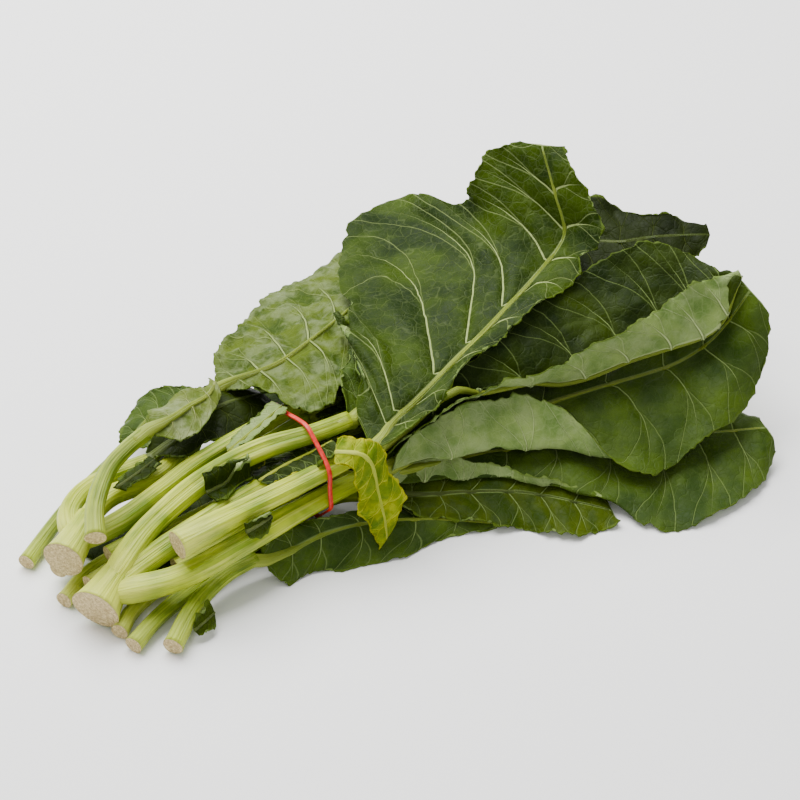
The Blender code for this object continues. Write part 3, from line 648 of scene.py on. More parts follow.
NET_ROWS = 260
NET_COLUMNS = 70
WALL = 0.6
VEIN_WALL = 0.7
RIB_COLUMNS = (0.55, 1.0, 1.5, 2.2)
ROW_STEPS = {
    "fine": (0, 0.04, 0.09, 0.15, 0.21, 0.28, 0.35, 0.42, 0.50, 0.58, 0.65, 0.72, 0.79, 0.85, 0.91, 0.96),
    "plain": (0, 0.14, 0.32, 0.5, 0.68, 0.86),
}
OUT_COLUMNS = {"fine": 30, "plain": 14}
VEIN_BOW = 0.13
FAR_FROM_MARGIN = 99
VEIN_TROUGH = 0.8
TROUGH_REACH = 1.7
PILLOW_HEIGHT = 1.3
PILLOW_REACH = 6.0
FLAT_BESIDE_VEIN = 3.0
BLISTER_WAVE = 19.0
PUCKER_WAVE = 7.0
CREASE_WAVE = 15.0
CREASE_WIDTH = 0.22
FRILL_HEIGHT = 1.2
FRILL_WAVE = 21.0
LOBE_REACH = 5.0
LOBE_WAVE = 27.0
BAY_REACH = 2.2
BAY_WAVE = 11.0
TOOTH = 2.6
TOOTH_WAVE = 3.4
JAG_WAVE = 8.0
RIB_SHARE = 0.72
RIB_SUNK = 0.78
RIB_SUNK_BACK = 0.45
RIB_POINTS = 60
RIB_SETTLES = 16
RIB_IN_STEM = 0.96


def even_nets(grid, middle):
    """The laid blade as an even net each side of its midrib, with how wide it is at every row."""
    fine = smooth_path(grid, NET_ROWS)
    nets = []
    for half in (fine[:, middle::-1], fine[:, middle:]):
        lines = smooth_path(half.transpose(1, 0, 2), 6 * half.shape[1]).transpose(1, 0, 2)
        steps = np.linalg.norm(np.diff(lines, axis=1), axis=2)
        along = np.concatenate([np.zeros((NET_ROWS, 1)), np.cumsum(steps, axis=1)], 1)
        share = np.linspace(0, 1, NET_COLUMNS)
        rows = [np.stack([np.interp(share * a[-1], a, line[:, k]) for k in range(3)], 1)
                for a, line in zip(along, lines)]
        nets.append((np.array(rows), along[:, -1]))
    return nets


def on_net(net, u, w):
    """Places on an even net, at shares of its length and of its width."""
    a = np.clip(u, 0, 1) * (net.shape[0] - 1)
    b = np.clip(w, 0, 1) * (net.shape[1] - 1)
    i = np.minimum(a.astype(int), net.shape[0] - 2)
    j = np.minimum(b.astype(int), net.shape[1] - 2)
    s, t = (a - i)[..., None], (b - j)[..., None]
    before = (1 - t) * net[i, j] + t * net[i, j + 1]
    after = (1 - t) * net[i + 1, j] + t * net[i + 1, j + 1]
    return (1 - s) * before + s * after


def wander(places, wave, seed):
    """Smooth noise at each place, with bumps about one wave apart."""
    flat = places.reshape(-1, 3) / wave + seed
    return np.array([noise.noise(place) for place in flat]).reshape(places.shape[:-1])


def veined_grid(leaf, grid, middle):
    """The blade as fine rows that follow its side veins, with what its skin needs to know at each place."""
    nets = even_nets(grid, middle)
    side_veins = leaf.get("veins") or 2 * [np.linspace(0, 1, leaf.get("vein_count", 7) + 2)[1:-1]]
    count = len(side_veins[0])
    steps = ROW_STEPS[leaf.get("detail", "plain")]
    number = np.array([k + step for k in range(count + 1) for step in steps] + [count + 1.0])
    starts = [np.interp(number, np.arange(count + 2), [0, *veins, 1]) for veins in side_veins]
    centre = (starts[0] + starts[1]) / 2
    rib = leaf["radius"] + (TIP_RIB - leaf["radius"]) * centre
    length = np.linalg.norm(np.diff(nets[0][0][:, 0], axis=0), axis=1).sum()
    columns = OUT_COLUMNS[leaf.get("detail", "plain")]
    halves = []
    for (net, width), start in zip(nets, starts):
        wide = np.interp(centre, np.linspace(0, 1, NET_ROWS), width)[:, None]
        near = np.array(RIB_COLUMNS)[None] * rib[:, None] / np.maximum(wide, 1)
        near = np.minimum(near, 0.3 * np.arange(1, len(RIB_COLUMNS) + 1) / len(RIB_COLUMNS))
        far = 1 - (1 - np.linspace(0, 1, columns + 1)[None, 1:]) ** 1.25
        w = np.concatenate([near, near[:, -1:] + (1 - near[:, -1:]) * far], 1)
        settle = np.minimum(1, w * wide / (1.5 * rib[:, None]))
        u = centre[:, None] + (start - centre)[:, None] * settle
        u = u + leaf.get("bow", VEIN_BOW) * wide / length * 4 * u * (1 - u) * np.sin(math.pi * w ** 0.95)
        halves.append((on_net(net, u, w), w, wide * w, wide * (1 - w)))
    rib_line = on_net(nets[0][0], centre, 0 * centre)[:, None]
    places = np.concatenate([halves[0][0][:, ::-1], rib_line, halves[1][0]], 1)
    zero = np.zeros((len(number), 1))
    outward, from_rib, from_margin = [
        np.concatenate([halves[0][k][:, ::-1], at_rib, halves[1][k]], 1)
        for k, at_rib in ((1, zero), (2, zero), (3, zero + FAR_FROM_MARGIN))]
    facts = dict(vein_number=np.repeat(number[:, None], places.shape[1], 1), outward=outward,
                 from_rib=from_rib / rib[:, None], from_margin=from_margin)
    sideways = unit(np.gradient(places, axis=1))
    along = np.gradient(places, number, axis=0)
    facts["vein_gap"] = np.linalg.norm(np.cross(along, sideways), axis=2)
    return places, facts, rib


def relief(leaf, places, facts, seed):
    """Sunken veins, blisters and creases between them, frills, notches and small teeth, as real shape."""
    from_vein = np.abs(facts["vein_number"] - np.round(facts["vein_number"])) * facts["vein_gap"]
    out = facts["outward"]
    off_rib = np.clip((facts["from_rib"] - 0.6) / 3, 0, 1)
    rise = leaf.get("pillow", PILLOW_HEIGHT) * (1 - np.exp(-(from_vein / PILLOW_REACH) ** 2)) * (1 - out ** 3)
    rise = rise * off_rib - VEIN_TROUGH * np.exp(-(from_vein / TROUGH_REACH) ** 2) * (1 - 0.8 * out)
    if leaf.get("flipped"):
        rise = -rise
    clear = (1 - np.exp(-(from_vein / FLAT_BESIDE_VEIN) ** 2)) * off_rib
    blisters = 1.5 * wander(places, BLISTER_WAVE, seed) + 0.5 * wander(places, PUCKER_WAVE, seed + 9)
    creases = np.maximum(0, 1 - np.abs(wander(places, CREASE_WAVE, seed + 4)) / CREASE_WIDTH)
    swing = wander(places, FRILL_WAVE, seed + 31) * 1.6 + wander(places, 0.45 * FRILL_WAVE, seed + 57) * 0.7
    fade = np.minimum(1, 8 * np.linspace(0, 1, len(places)))[:, None]
    height = rise + leaf.get("puff", 1.0) * blisters * clear + leaf.get("crumple", 0) * creases * clear
    height = height + leaf.get("frill", FRILL_HEIGHT) * swing * out ** 3 * fade
    middle = places.shape[1] // 2
    normals = surface_normals(places)
    lifted = places + normals * height[..., None]
    ragged = TOOTH * (wander(places, TOOTH_WAVE, seed + 77) + 0.8 * wander(places, JAG_WAVE, seed + 91))
    stray = LOBE_REACH * wander(places, LOBE_WAVE, seed + 43) + BAY_REACH * wander(places, BAY_WAVE, seed + 67)
    outwards = unit(np.gradient(lifted, axis=1)) * np.sign(np.arange(places.shape[1]) - middle)[None, :, None]
    lifted = lifted + outwards * (stray * out ** 5 * fade)[..., None]
    for edge_side, where, spread, depth, tip in leaf.get("notches", ()):
        on_side = (np.arange(places.shape[1]) - middle) * edge_side > 0
        away = (facts["vein_number"] - where) / spread
        pull = np.exp(-away ** 2) * out ** 3 * on_side
        tilt = -away * np.exp(0.5 - 0.5 * away ** 2) * out ** 2 * on_side
        lifted = lifted - outwards * (depth * pull)[..., None] + normals * (tip * tilt)[..., None]
    for edge, inner in ((0, 3), (-1, -4)):
        outward = unit(lifted[:, edge] - lifted[:, inner])
        reach = ragged[:, edge, None] * outward * fade
        for step, share in ((0, 1.0), (1, 0.35)):
            column = edge + step if edge == 0 else edge - step
            lifted[:, column] += share * reach
    return lifted


def lay_leaf(name, leaf):
    """Lays one blade on the pile and makes its sheet and its midrib."""
    grid, thick = blade_grid(leaf)
    flipped = leaf.get("flipped", False)
    if leaf.get("eased", True):
        grid = lay_on_pile(grid, thick, pile, flipped)
    middle = int(np.argmax(thick[0]))
    places, facts, rib = veined_grid(leaf, grid, middle)
    seed = 3.0 + 7.0 * len(laid_leaves)
    places = relief(leaf, places, facts, seed)
    places[..., 2] = np.maximum(places[..., 2], WALL + 0.3 if not flipped else 0)
    rows, columns = places.shape[:2]
    shape = bmesh.new()
    bmesh.ops.create_grid(shape, x_segments=columns - 1, y_segments=rows - 1, size=1)
    shape.verts.ensure_lookup_table()
    for vertex, place in zip(shape.verts, in_part(places.reshape(-1, 3))):
        vertex.co = place
    skins = [leaf_skins[skin] for skin in leaf.get("skins", ("shaded", "soft_under"))]
    if flipped:
        skins.reverse()
    slot = leaf.get("slot", "leaf_dark")
    blade = add_piece(f"{name}_blade", shape, skins, slot, *leaf.get("stands_for", (name,)))
    for fact, values in facts.items():
        blade.data.attributes.new(fact, "FLOAT", "POINT").data.foreach_set("value", values.ravel())
    from_vein = np.abs(facts["vein_number"] - np.round(facts["vein_number"])) * facts["vein_gap"]
    wall = WALL + VEIN_WALL * np.exp(-(from_vein / 1.0) ** 2) * (1 - facts["outward"])
    depth = blade.vertex_groups.new(name="depth")
    for index, share in enumerate((wall / wall.max()).ravel()):
        depth.add([index], float(share), "REPLACE")
    sheet = blade.modifiers.new("sheet", "SOLIDIFY")
    sheet.thickness = float(wall.max()) * MM
    sheet.vertex_group = depth.name
    sheet.offset = 1 if flipped else -1
    sheet.material_offset = 1
    add_midrib(name, leaf, grid, middle, flipped)
    laid_leaves[name] = grid


def add_midrib(name, leaf, grid, middle, flipped):
    """The leaf stem running on under the blade, thinning to nothing at the tip."""
    line = smooth_path(grid[:, middle], RIB_POINTS)
    normals = smooth_path(surface_normals(grid)[:, middle], RIB_POINTS)
    share = np.linspace(0, 1, RIB_POINTS)
    radius = leaf.get("slim", RIB_SHARE) * leaf["radius"] * (1 - share) ** 0.7 + 0.5
    sunk = (RIB_SUNK_BACK if flipped else -leaf.get("rib_sunk", RIB_SUNK)) * radius
    line = line + unit(normals) * sunk[:, None]
    if "stem" in leaf:
        stem_name, branch = leaf["stem"]
        points, _, last_radius = STEMS[stem_name][branch]
        root = even_path(points, STEM_RUN)[-4:-1]
        line = np.concatenate([root, line])
        radius = np.concatenate([np.full(len(root), RIB_IN_STEM * last_radius), radius])
        settled = np.minimum(1, np.arange(len(radius)) / RIB_SETTLES)
        radius = RIB_IN_STEM * last_radius * (1 - settled) + radius * settled
    run = np.concatenate([[0], np.cumsum(np.linalg.norm(np.diff(line, axis=0), axis=1))])
    where = np.linspace(0, 0.985 * run[-1], max(6, round(run[-1] / STEM_RUN)))
    line = np.stack([np.interp(where, run, line[:, k]) for k in range(3)], 1)
    radius = np.interp(where, run, radius)
    upper = unit(normals)[2] * (-1 if flipped else 1)
    shape, _ = round_stalk(line, radius, upper, 0.4 + len(laid_leaves), channel=0.10, ring=16, has_cut=False)
    add_piece(f"{name}_midrib", shape, (rib_skins[leaf.get("rib_skin", "rib_green")],), "stem",
              *leaf.get("stands_for", (name,)))


VEIN = (0.27, 0.34, 0.115)
# The second vein colour is dimmer: painted shade for the veins of leaves that lie in the shadow of others.
SHADED_VEIN = (0.18, 0.25, 0.07)
MARGIN = (0.09, 0.14, 0.012)


def leaf_skin(name, dark, light, vein, net, roughness, wax=None, wax_share=0.0, margin=MARGIN, thick=1.0,
              patches=24.0, raised=-1):
    """Waxy leaf skin: mottled green, with pale side veins that fork, a net between them and a pale margin."""
    nodes = SkinNodes(name)
    where = nodes.place()
    number, gap = nodes.attribute("vein_number"), nodes.attribute("vein_gap")
    from_rib, outward = nodes.attribute("from_rib"), nodes.attribute("outward")
    from_margin = nodes.attribute("from_margin")
    drift = nodes.maths("MULTIPLY", nodes.maths("SUBTRACT", nodes.clouds(where, 55.0, 2.0), 0.5), 0.10)
    apart = nodes.maths("PINGPONG", nodes.maths("ADD", number, drift), 0.5)
    from_vein = nodes.maths("MULTIPLY", apart, gap)
    thin = nodes.maths("MULTIPLY", nodes.spread(outward, 0.0, 0.95, 0.62 * thick, 0.08),
                        nodes.spread(gap, 3.0, 20.0, 0.25, 1.0))
    side_vein = nodes.spread(nodes.maths("DIVIDE", from_vein, thin), 0.7, 1.7, 1.0, 0.0)
    side_vein = nodes.maths("MULTIPLY", side_vein, nodes.spread(outward, 0.55, 1.0, 1.0, 0.35))
    fork_line = nodes.spread(outward, 0.25, 1.0, 0.0, 0.36)
    off_fork = nodes.maths("ABSOLUTE", nodes.maths("SUBTRACT", apart, fork_line))
    from_fork = nodes.maths("MULTIPLY", off_fork, gap)
    fork = nodes.maths("MULTIPLY", nodes.spread(from_fork, 0.15, 0.55, 1.0, 0.0),
                       nodes.spread(outward, 0.27, 0.5, 0.0, 0.6))
    warp = nodes.add("ShaderNodeVectorMath", settings={"operation": "MULTIPLY_ADD"})
    swirls = nodes.add("ShaderNodeTexNoise", Vector=where, Scale=140.0).outputs["Color"]
    nodes.tree.links.new(swirls, warp.inputs[0])
    warp.inputs[1].default_value = (0.004, 0.004, 0.004)
    nodes.tree.links.new(where, warp.inputs[2])
    warped = warp.outputs["Vector"]
    wide_net = nodes.spread(nodes.cells(warped, 115.0), 0.0, 0.055, 1.0, 0.0)
    small_net = nodes.spread(nodes.cells(warped, 330.0), 0.0, 0.09, 0.6, 0.0)
    netting = nodes.maths("MAXIMUM", wide_net, small_net)
    mottle = nodes.clouds(where, patches, 4.0, 0.6)
    base = nodes.blend(nodes.spread(mottle, 0.36, 0.66), dark, light)
    halo = nodes.spread(from_vein, 0.5, 5.0, 0.35, 0.0)
    base = nodes.blend(halo, base, light)
    base = nodes.blend(nodes.maths("MULTIPLY", netting, net), base, vein)
    if wax_share:
        waxy = nodes.spread(nodes.clouds(where, 70.0, 5.0, 0.65), 0.42, 0.62, 0.0, wax_share)
        base = nodes.blend(waxy, base, wax)
    base = nodes.blend(nodes.maths("MULTIPLY", fork, 0.65), base, vein)
    base = nodes.blend(side_vein, base, vein)
    base = nodes.blend(nodes.spread(from_rib, 0.35, 0.75, 0.8, 0.0), base, vein)
    base = nodes.blend(nodes.spread(from_margin, 0.1, 0.9, 0.6, 0.0), base, margin)
    puff = nodes.cells(warped, 115.0, "F1")
    height = nodes.maths("ADD", nodes.maths("MULTIPLY", side_vein, 0.8 * raised),
                         nodes.maths("MULTIPLY", fork, 0.45 * raised))
    height = nodes.maths("ADD", height, nodes.maths("MULTIPLY", netting, 0.12 * raised))
    height = nodes.maths("SUBTRACT", height, nodes.maths("MULTIPLY", puff, 0.34))
    height = nodes.maths("ADD", height, nodes.maths("MULTIPLY", nodes.clouds(where, 240.0, 4.0), 0.3))
    nodes.raise_by(height, 0.0015, 1.0)
    gloss = nodes.spread(nodes.clouds(where, 90.0, 3.0), 0.3, 0.7, roughness - 0.07, roughness + 0.1)
    return nodes.finish(base, gloss, Specular_IOR_Level=0.07)


LEAF_SHADES = {
    "deep": dict(
        name="leaf_upper_deep", dark=(0.0065, 0.018, 0.0003), light=(0.032, 0.06, 0.0003), vein=VEIN,
        net=0.11, roughness=0.5, wax=(0.017, 0.034, 0.0012), wax_share=0.3),
    # A lighter copy of the leaf green for leaves that lie in the shade of others: painted light against that
    # shade.
    "shaded": dict(
        name="leaf_upper_shaded", dark=(0.018, 0.04, 0.0035), light=(0.056, 0.096, 0.007), vein=SHADED_VEIN,
        net=0.07, roughness=0.46, wax=(0.035, 0.058, 0.012), wax_share=0.4, thick=0.62),
    # A darker copy of the leaf green for the cup leaf, which faces the lamp: painted shade that holds down its
    # lit face.
    "dimmed_for_lamp": dict(
        name="leaf_upper_dimmed_for_lamp", dark=(0.005, 0.013, 0.0004), light=(0.023, 0.041, 0.0003), vein=SHADED_VEIN,
        net=0.06, roughness=0.5, wax=(0.018, 0.03, 0.0035), wax_share=0.4, thick=0.62),
    "lime": dict(
        name="leaf_upper_lime", dark=(0.018, 0.039, 0.00052), light=(0.068, 0.096, 0.00039), vein=SHADED_VEIN,
        net=0.06, roughness=0.46, wax=(0.026, 0.039, 0.0065), wax_share=0.3, thick=0.55),
    # A very dark olive green for the tucked leaf: partly its own colour and partly painted shade, as it lies in
    # the shadow of the leaves over it.
    "olive_and_shade": dict(
        name="leaf_upper_olive_and_shade", dark=(0.006, 0.012, 0.0004), light=(0.018, 0.03, 0.0004),
        vein=(0.05, 0.07, 0.01), net=0.05, roughness=0.5, thick=0.5),
    # A near-black copy of the leaf green for the far leaf, which lies behind the others: painted shade.
    "far": dict(
        name="leaf_upper_far_in_shade", dark=(0.004, 0.008, 0.0003), light=(0.012, 0.02, 0.0003),
        vein=(0.035, 0.05, 0.006), net=0.05, roughness=0.55, thick=0.5),
    "scrap": dict(
        name="leaf_scrap", dark=(0.0078, 0.018, 0.00052), light=(0.029, 0.049, 0.00052),
        vein=(0.052, 0.078, 0.0039), net=0.05, roughness=0.46, thick=0.6),
    "soft_under": dict(
        name="leaf_under_soft", dark=(0.1, 0.17, 0.035), light=(0.21, 0.29, 0.08), vein=(0.38, 0.47, 0.19),
        net=0.16, roughness=0.55, wax=(0.26, 0.32, 0.14), wax_share=0.45, thick=0.7, patches=45.0,
        raised=1),
    "silver_under": dict(
        name="leaf_under_silver", dark=(0.026, 0.052, 0.0018), light=(0.07, 0.104, 0.0045),
        vein=(0.21, 0.27, 0.08), net=0.16, roughness=0.5, wax=(0.15, 0.19, 0.075), wax_share=0.75, thick=0.8,
        patches=45.0, raised=1),
    "flag_under": dict(
        name="leaf_under_flag", dark=(0.061, 0.096, 0.007), light=(0.12, 0.16, 0.021),
        vein=(0.25, 0.29, 0.088), net=0.1, roughness=0.5, wax=(0.21, 0.25, 0.11), wax_share=0.8, thick=0.6,
        raised=1),
    "wilted": dict(
        name="leaf_wilted", dark=(0.052, 0.11, 0.001), light=(0.35, 0.39, 0.004), vein=(0.53, 0.56, 0.035),
        margin=(0.39, 0.37, 0.0018), net=0.12, roughness=0.44, wax=(0.08, 0.15, 0.001), wax_share=0.6,
        thick=0.7, patches=60.0),
    "wilted_under": dict(
        name="leaf_wilted_under", dark=(0.1, 0.16, 0.0035), light=(0.33, 0.37, 0.007),
        vein=(0.49, 0.53, 0.052), margin=(0.39, 0.37, 0.0018), net=0.12, roughness=0.5, thick=0.7,
        raised=1),
}
leaf_skins = {key: leaf_skin(**shade) for key, shade in LEAF_SHADES.items()}
rib_skins = {
    "rib_green": stalk_skin("rib_green", (0.20, 0.26, 0.02), (0.12, 0.17, 0.0068), (0.36, 0.42, 0.051)),
    "rib_dull": stalk_skin("rib_dull", (0.06, 0.085, 0.01), (0.034, 0.06, 0.0051), (0.12, 0.15, 0.025)),
    "rib_yellow": stalk_skin("rib_yellow", (0.44, 0.49, 0.034), (0.34, 0.41, 0.014), (0.58, 0.63, 0.10)),
}
pile = Pile()
laid_leaves = {}

# ---- The leaves at the bottom of the bunch ----
# The outer leaves of the bunch, pressed flat under the others and fanned out over the table.
# The lowest of them lies on its face and carries the bunch on a flat spot.

LOWEST_LEAVES = {
    "leaf_floor": dict(
        slot="leaf_pale", skins=("deep", "silver_under"), stem=("stem_low_b", 0), flipped=True, radius=3.2,
        ruffle=(0, 55), frill=0.3,
        lines=[
            [(18, 22, 5), (50, 50, 0), (90, 62, 0), (130, 62, 0), (170, 44, 0), (192, 20, 1)],
            [(17, 16, 4), (56, 15, 0), (96, 14, 0), (134, 8, 0), (172, -2, 0), (204, -16, 3)],
            [(19, 11, 5), (54, -16, 0), (92, -32, 0), (130, -42, 0), (166, -46, 0), (196, -40, 1)],
        ]),
    "leaf_skirt": dict(
        stem=("stem_low_f", 0), detail="fine", vein_count=5, radius=3.2, slim=0.45, ruffle=(0.6, 40),
        frill=1.0,
        lines=[
            [(-52, -35, 17), (-38, -37, 21), (-20, -40, 22), (-2, -46, 20), (30, -45, 9), (54, -56, 8),
             (70, -94, 3)],
            [(-53, -40, 12), (-38, -45, 14), (-20, -47, 15), (4, -51, 12), (32, -64, 8), (50, -78, 6),
             (69, -95, 3)],
            [(-54, -44, 8), (-48, -54, 1), (-34, -55, 0), (-14, -64, 0), (12, -76, 0), (43, -82, 0),
             (66, -94, 1)],
        ]),
    "leaf_low": dict(
        skins=("lime", "soft_under"), rib_skin="rib_dull", stem=("stem_low_e", 0), detail="fine",
        vein_count=6, radius=3.2, slim=0.25, rib_sunk=0.8, ruffle=(2, 40),
        lines=[
            [(32, -38, 17), (54, -46, 18), (83, -58, 16), (104, -76, 14), (118, -98, 11), (124, -118, 6)],
            [(28, -42, 15), (44, -58, 15), (63, -69, 13), (86, -86, 11), (102, -105, 9), (121, -128, 4)],
            [(24, -46, 14), (36, -66, 6), (58, -87, 2), (78, -108, 0), (90, -130, 0), (118, -135, 1)],
        ]),
    "leaf_back_left": dict(
        stem=("stem_low_a", 0), radius=3.6, ruffle=(3, 50),
        lines=[
            [(20, 36, 13), (44, 84, 6), (84, 112, 1), (120, 118, 2), (150, 112, 4)],
            [(22, 30, 13), (60, 56, 18), (96, 74, 18), (130, 88, 14), (160, 98, 6)],
            [(24, 24, 13), (70, 30, 16), (116, 40, 16), (150, 56, 12), (168, 84, 6)],
        ]),
    "leaf_outer": dict(
        stem=("stem_mid_b", 0), detail="fine", vein_count=8, radius=3.8, slim=0.4, ruffle=(3, 60),
        lines=[
            [(32, -34, 23), (64, -30, 24), (104, -36, 24), (138, -48, 24), (170, -64, 22), (198, -88, 20),
             (216, -112, 20), (224, -140, 22)],
            [(28, -39, 22), (58, -50, 21), (90, -60, 19), (122, -74, 17), (155, -92, 15), (182, -112, 14),
             (206, -130, 15), (222, -148, 20)],
            [(27, -44, 21), (52, -58, 16), (74, -70, 11), (96, -90, 8), (117, -121, 4), (146, -149, 3),
             (192, -156, 6), (222, -155, 16)],
            [(30, -44, 26), (62, -48, 28), (80, -66, 23), (99, -89, 16), (120, -125, 6), (138, -162, 0),
             (184, -168, 2), (220, -161, 10)],
        ]),
}
for leaf_name, leaf in LOWEST_LEAVES.items():
    lay_leaf(leaf_name, leaf)

# ---- The leaves inside the bunch ----
# Leaves that lie on the lowest ones, arched over each other, with their tips curled up.
# One is folded over along its length, and one is held up like a cup.

INNER_LEAVES = {
    "leaf_inside": dict(
        stem=("stem_low_c", 0), radius=3.4, ruffle=(2, 50),
        lines=[
            [(34, 8, 24), (74, 34, 28), (124, 44, 30), (168, 30, 34), (206, 8, 42), (232, -8, 52)],
            [(32, 2, 22), (74, -2, 22), (124, -8, 24), (168, -16, 30), (206, -24, 39), (236, -30, 52)],
            [(34, -4, 24), (74, -28, 26), (124, -34, 28), (168, -44, 30), (206, -52, 40), (236, -48, 50)],
        ]),
    "leaf_core": dict(
        stem=("stem_mid_a", 0), radius=3.2, ruffle=(2, 45),
        lines=[
            [(28, 23, 38), (64, 38, 38), (104, 42, 40), (146, 30, 44)],
            [(27, 16, 37), (66, 14, 36), (108, 10, 38), (150, 4, 44)],
            [(28, 9, 38), (66, -8, 38), (106, -14, 40), (146, -12, 46)],
        ]),
    "leaf_side": dict(
        stem=("stalk_b", 2), detail="fine",
        veins=([0.12, 0.27, 0.42, 0.56, 0.69, 0.81, 0.91], [0.14, 0.3, 0.45, 0.58, 0.7, 0.81, 0.91]),
        radius=4.2, slim=0.4, ruffle=(3, 60),
        lines=[
            [(33, -38, 34), (64, -30, 37), (106, -30, 39), (152, -30, 40), (190, -38, 42), (218, -62, 56),
             (232, -91, 77), (239, -104, 92)],
            [(30, -43, 33), (60, -48, 34), (94, -55, 35), (130, -64, 36), (168, -77, 38), (204, -91, 41),
             (226, -102, 56), (240, -112, 86)],
            [(31, -47, 33), (62, -62, 31), (94, -78, 27), (120, -96, 21), (150, -118, 20), (190, -122, 28),
             (226, -125, 52), (241, -120, 82)],
            [(34, -47, 42), (64, -46, 50), (100, -56, 52), (126, -78, 46), (142, -127, 16), (182, -135, 24),
             (230, -134, 38), (242, -126, 76)],
        ]),
    # Its near-black upper skin is painted shade for a leaf lying in the shadow of the others.
    "leaf_far": dict(
        skins=("far", "shaded"), rib_skin="rib_dull", detail="fine", vein_count=5, radius=3.0, slim=0.3,
        rib_sunk=0.9, ruffle=(4, 40), frill=2.6,
        lines=[
            [(150, 20, 50), (200, 30, 63), (246, 30, 71), (254, 9, 76), (263, -14, 79), (272, -30, 80),
             (280, -43, 79)],
            [(150, 10, 46), (196, 8, 56), (228, 8, 62), (240, -12, 68), (252, -26, 73), (264, -40, 76),
             (276, -50, 76)],
            [(150, -2, 48), (196, -14, 52), (206, -28, 54), (220, -48, 54), (238, -54, 60), (256, -50, 69),
             (268, -54, 74)],
        ]),
    # Its upper skin is the darker copy of the leaf green, painted shade for a face turned to the lamp.
    "leaf_cup": dict(
        skins=("dimmed_for_lamp", "soft_under"), stem=("stalk_b", 3), detail="fine", vein_count=8, radius=3.6,
        slim=0.35, rib_sunk=0.9, ruffle=(1.5, 45), frill=1.4, puff=1.4, crumple=0.8,
        lines=[
            [(28, -42, 46), (54, -38, 53), (80, -38, 61), (107, -35, 66), (141, -30, 70), (171, -29, 74),
             (203, -38, 85), (226, -48, 94), (238, -76, 89), (240, -98, 83)],
            [(25, -44, 44), (62, -46, 43), (92, -50, 43), (122, -61, 45), (152, -73, 48), (176, -82, 53),
             (198, -94, 58), (214, -103, 62), (228, -108, 68), (240, -107, 77)],
            [(26, -49, 48), (55, -50, 56), (80, -54, 62), (106, -62, 63), (136, -70, 66), (160, -77, 70),
             (184, -84, 77), (204, -87, 84), (222, -91, 88), (240, -103, 84)],
        ]),
}
for leaf_name, leaf in INNER_LEAVES.items():
    lay_leaf(leaf_name, leaf)

# ---- The strip of blade under the left stems ----
# A torn strip of a blade caught between the stems at the left, and two dark sheets of painted shade low between
# them.
# They lie under the stems, so they go down before the stems are counted in the pile.

LEAFLET = dict(
    skins=("scrap", "soft_under"), rib_skin="rib_dull", vein_count=3, radius=1.2, slim=0.6,
    ruffle=(0, 30), frill=0.4, pillow=0.3)
STRIP_LEAFLETS = {
    # The two dark sheets stand for no part of the bunch: they fill the gaps between the stems with painted
    # shade.
    "shade_fill_left": dict(
        LEAFLET, stands_for=(), eased=False, vein_count=4, frill=1.2, pillow=0.4,
        lines=[
            [(-116, 40, 2), (-92, 50, 2), (-60, 52, 3), (-20, 44, 4), (20, 36, 4)],
            [(-112, 26, 2), (-90, 28, 2), (-60, 26, 3), (-20, 24, 4), (22, 20, 4)],
            [(-108, 14, 2), (-88, 8, 2), (-60, 4, 3), (-20, 4, 4), (20, 4, 4)],
        ]),
    "shade_fill_middle": dict(
        LEAFLET, stands_for=(), eased=False, vein_count=4, frill=1.2, pillow=0.4,
        lines=[
            [(-104, 6, 3), (-80, 10, 8), (-50, 12, 14), (-20, 10, 18), (10, 8, 20)],
            [(-100, -6, 3), (-76, -6, 7), (-50, -8, 12), (-20, -8, 16), (10, -10, 20)],
            [(-96, -18, 3), (-74, -22, 5), (-50, -28, 8), (-20, -28, 12), (8, -26, 18)],
        ]),
    "leaflet_strip": dict(
        LEAFLET,
        lines=[
            [(-94, 37, 38), (-79, 42, 39), (-65, 44, 40)],
            [(-93, 34, 40), (-78, 36, 40), (-64, 38, 41)],
            [(-91, 29, 39), (-77, 29, 40), (-64, 31, 41)],
        ]),
}
for leaf_name, leaf in STRIP_LEAFLETS.items():
    lay_leaf(leaf_name, leaf)

# ---- The leaves over the stems ----
# Leaves that lie across the stems at the left: three dark ones, and two that show their waxy, silvery backs.
# They are crumpled where the bunch was packed.

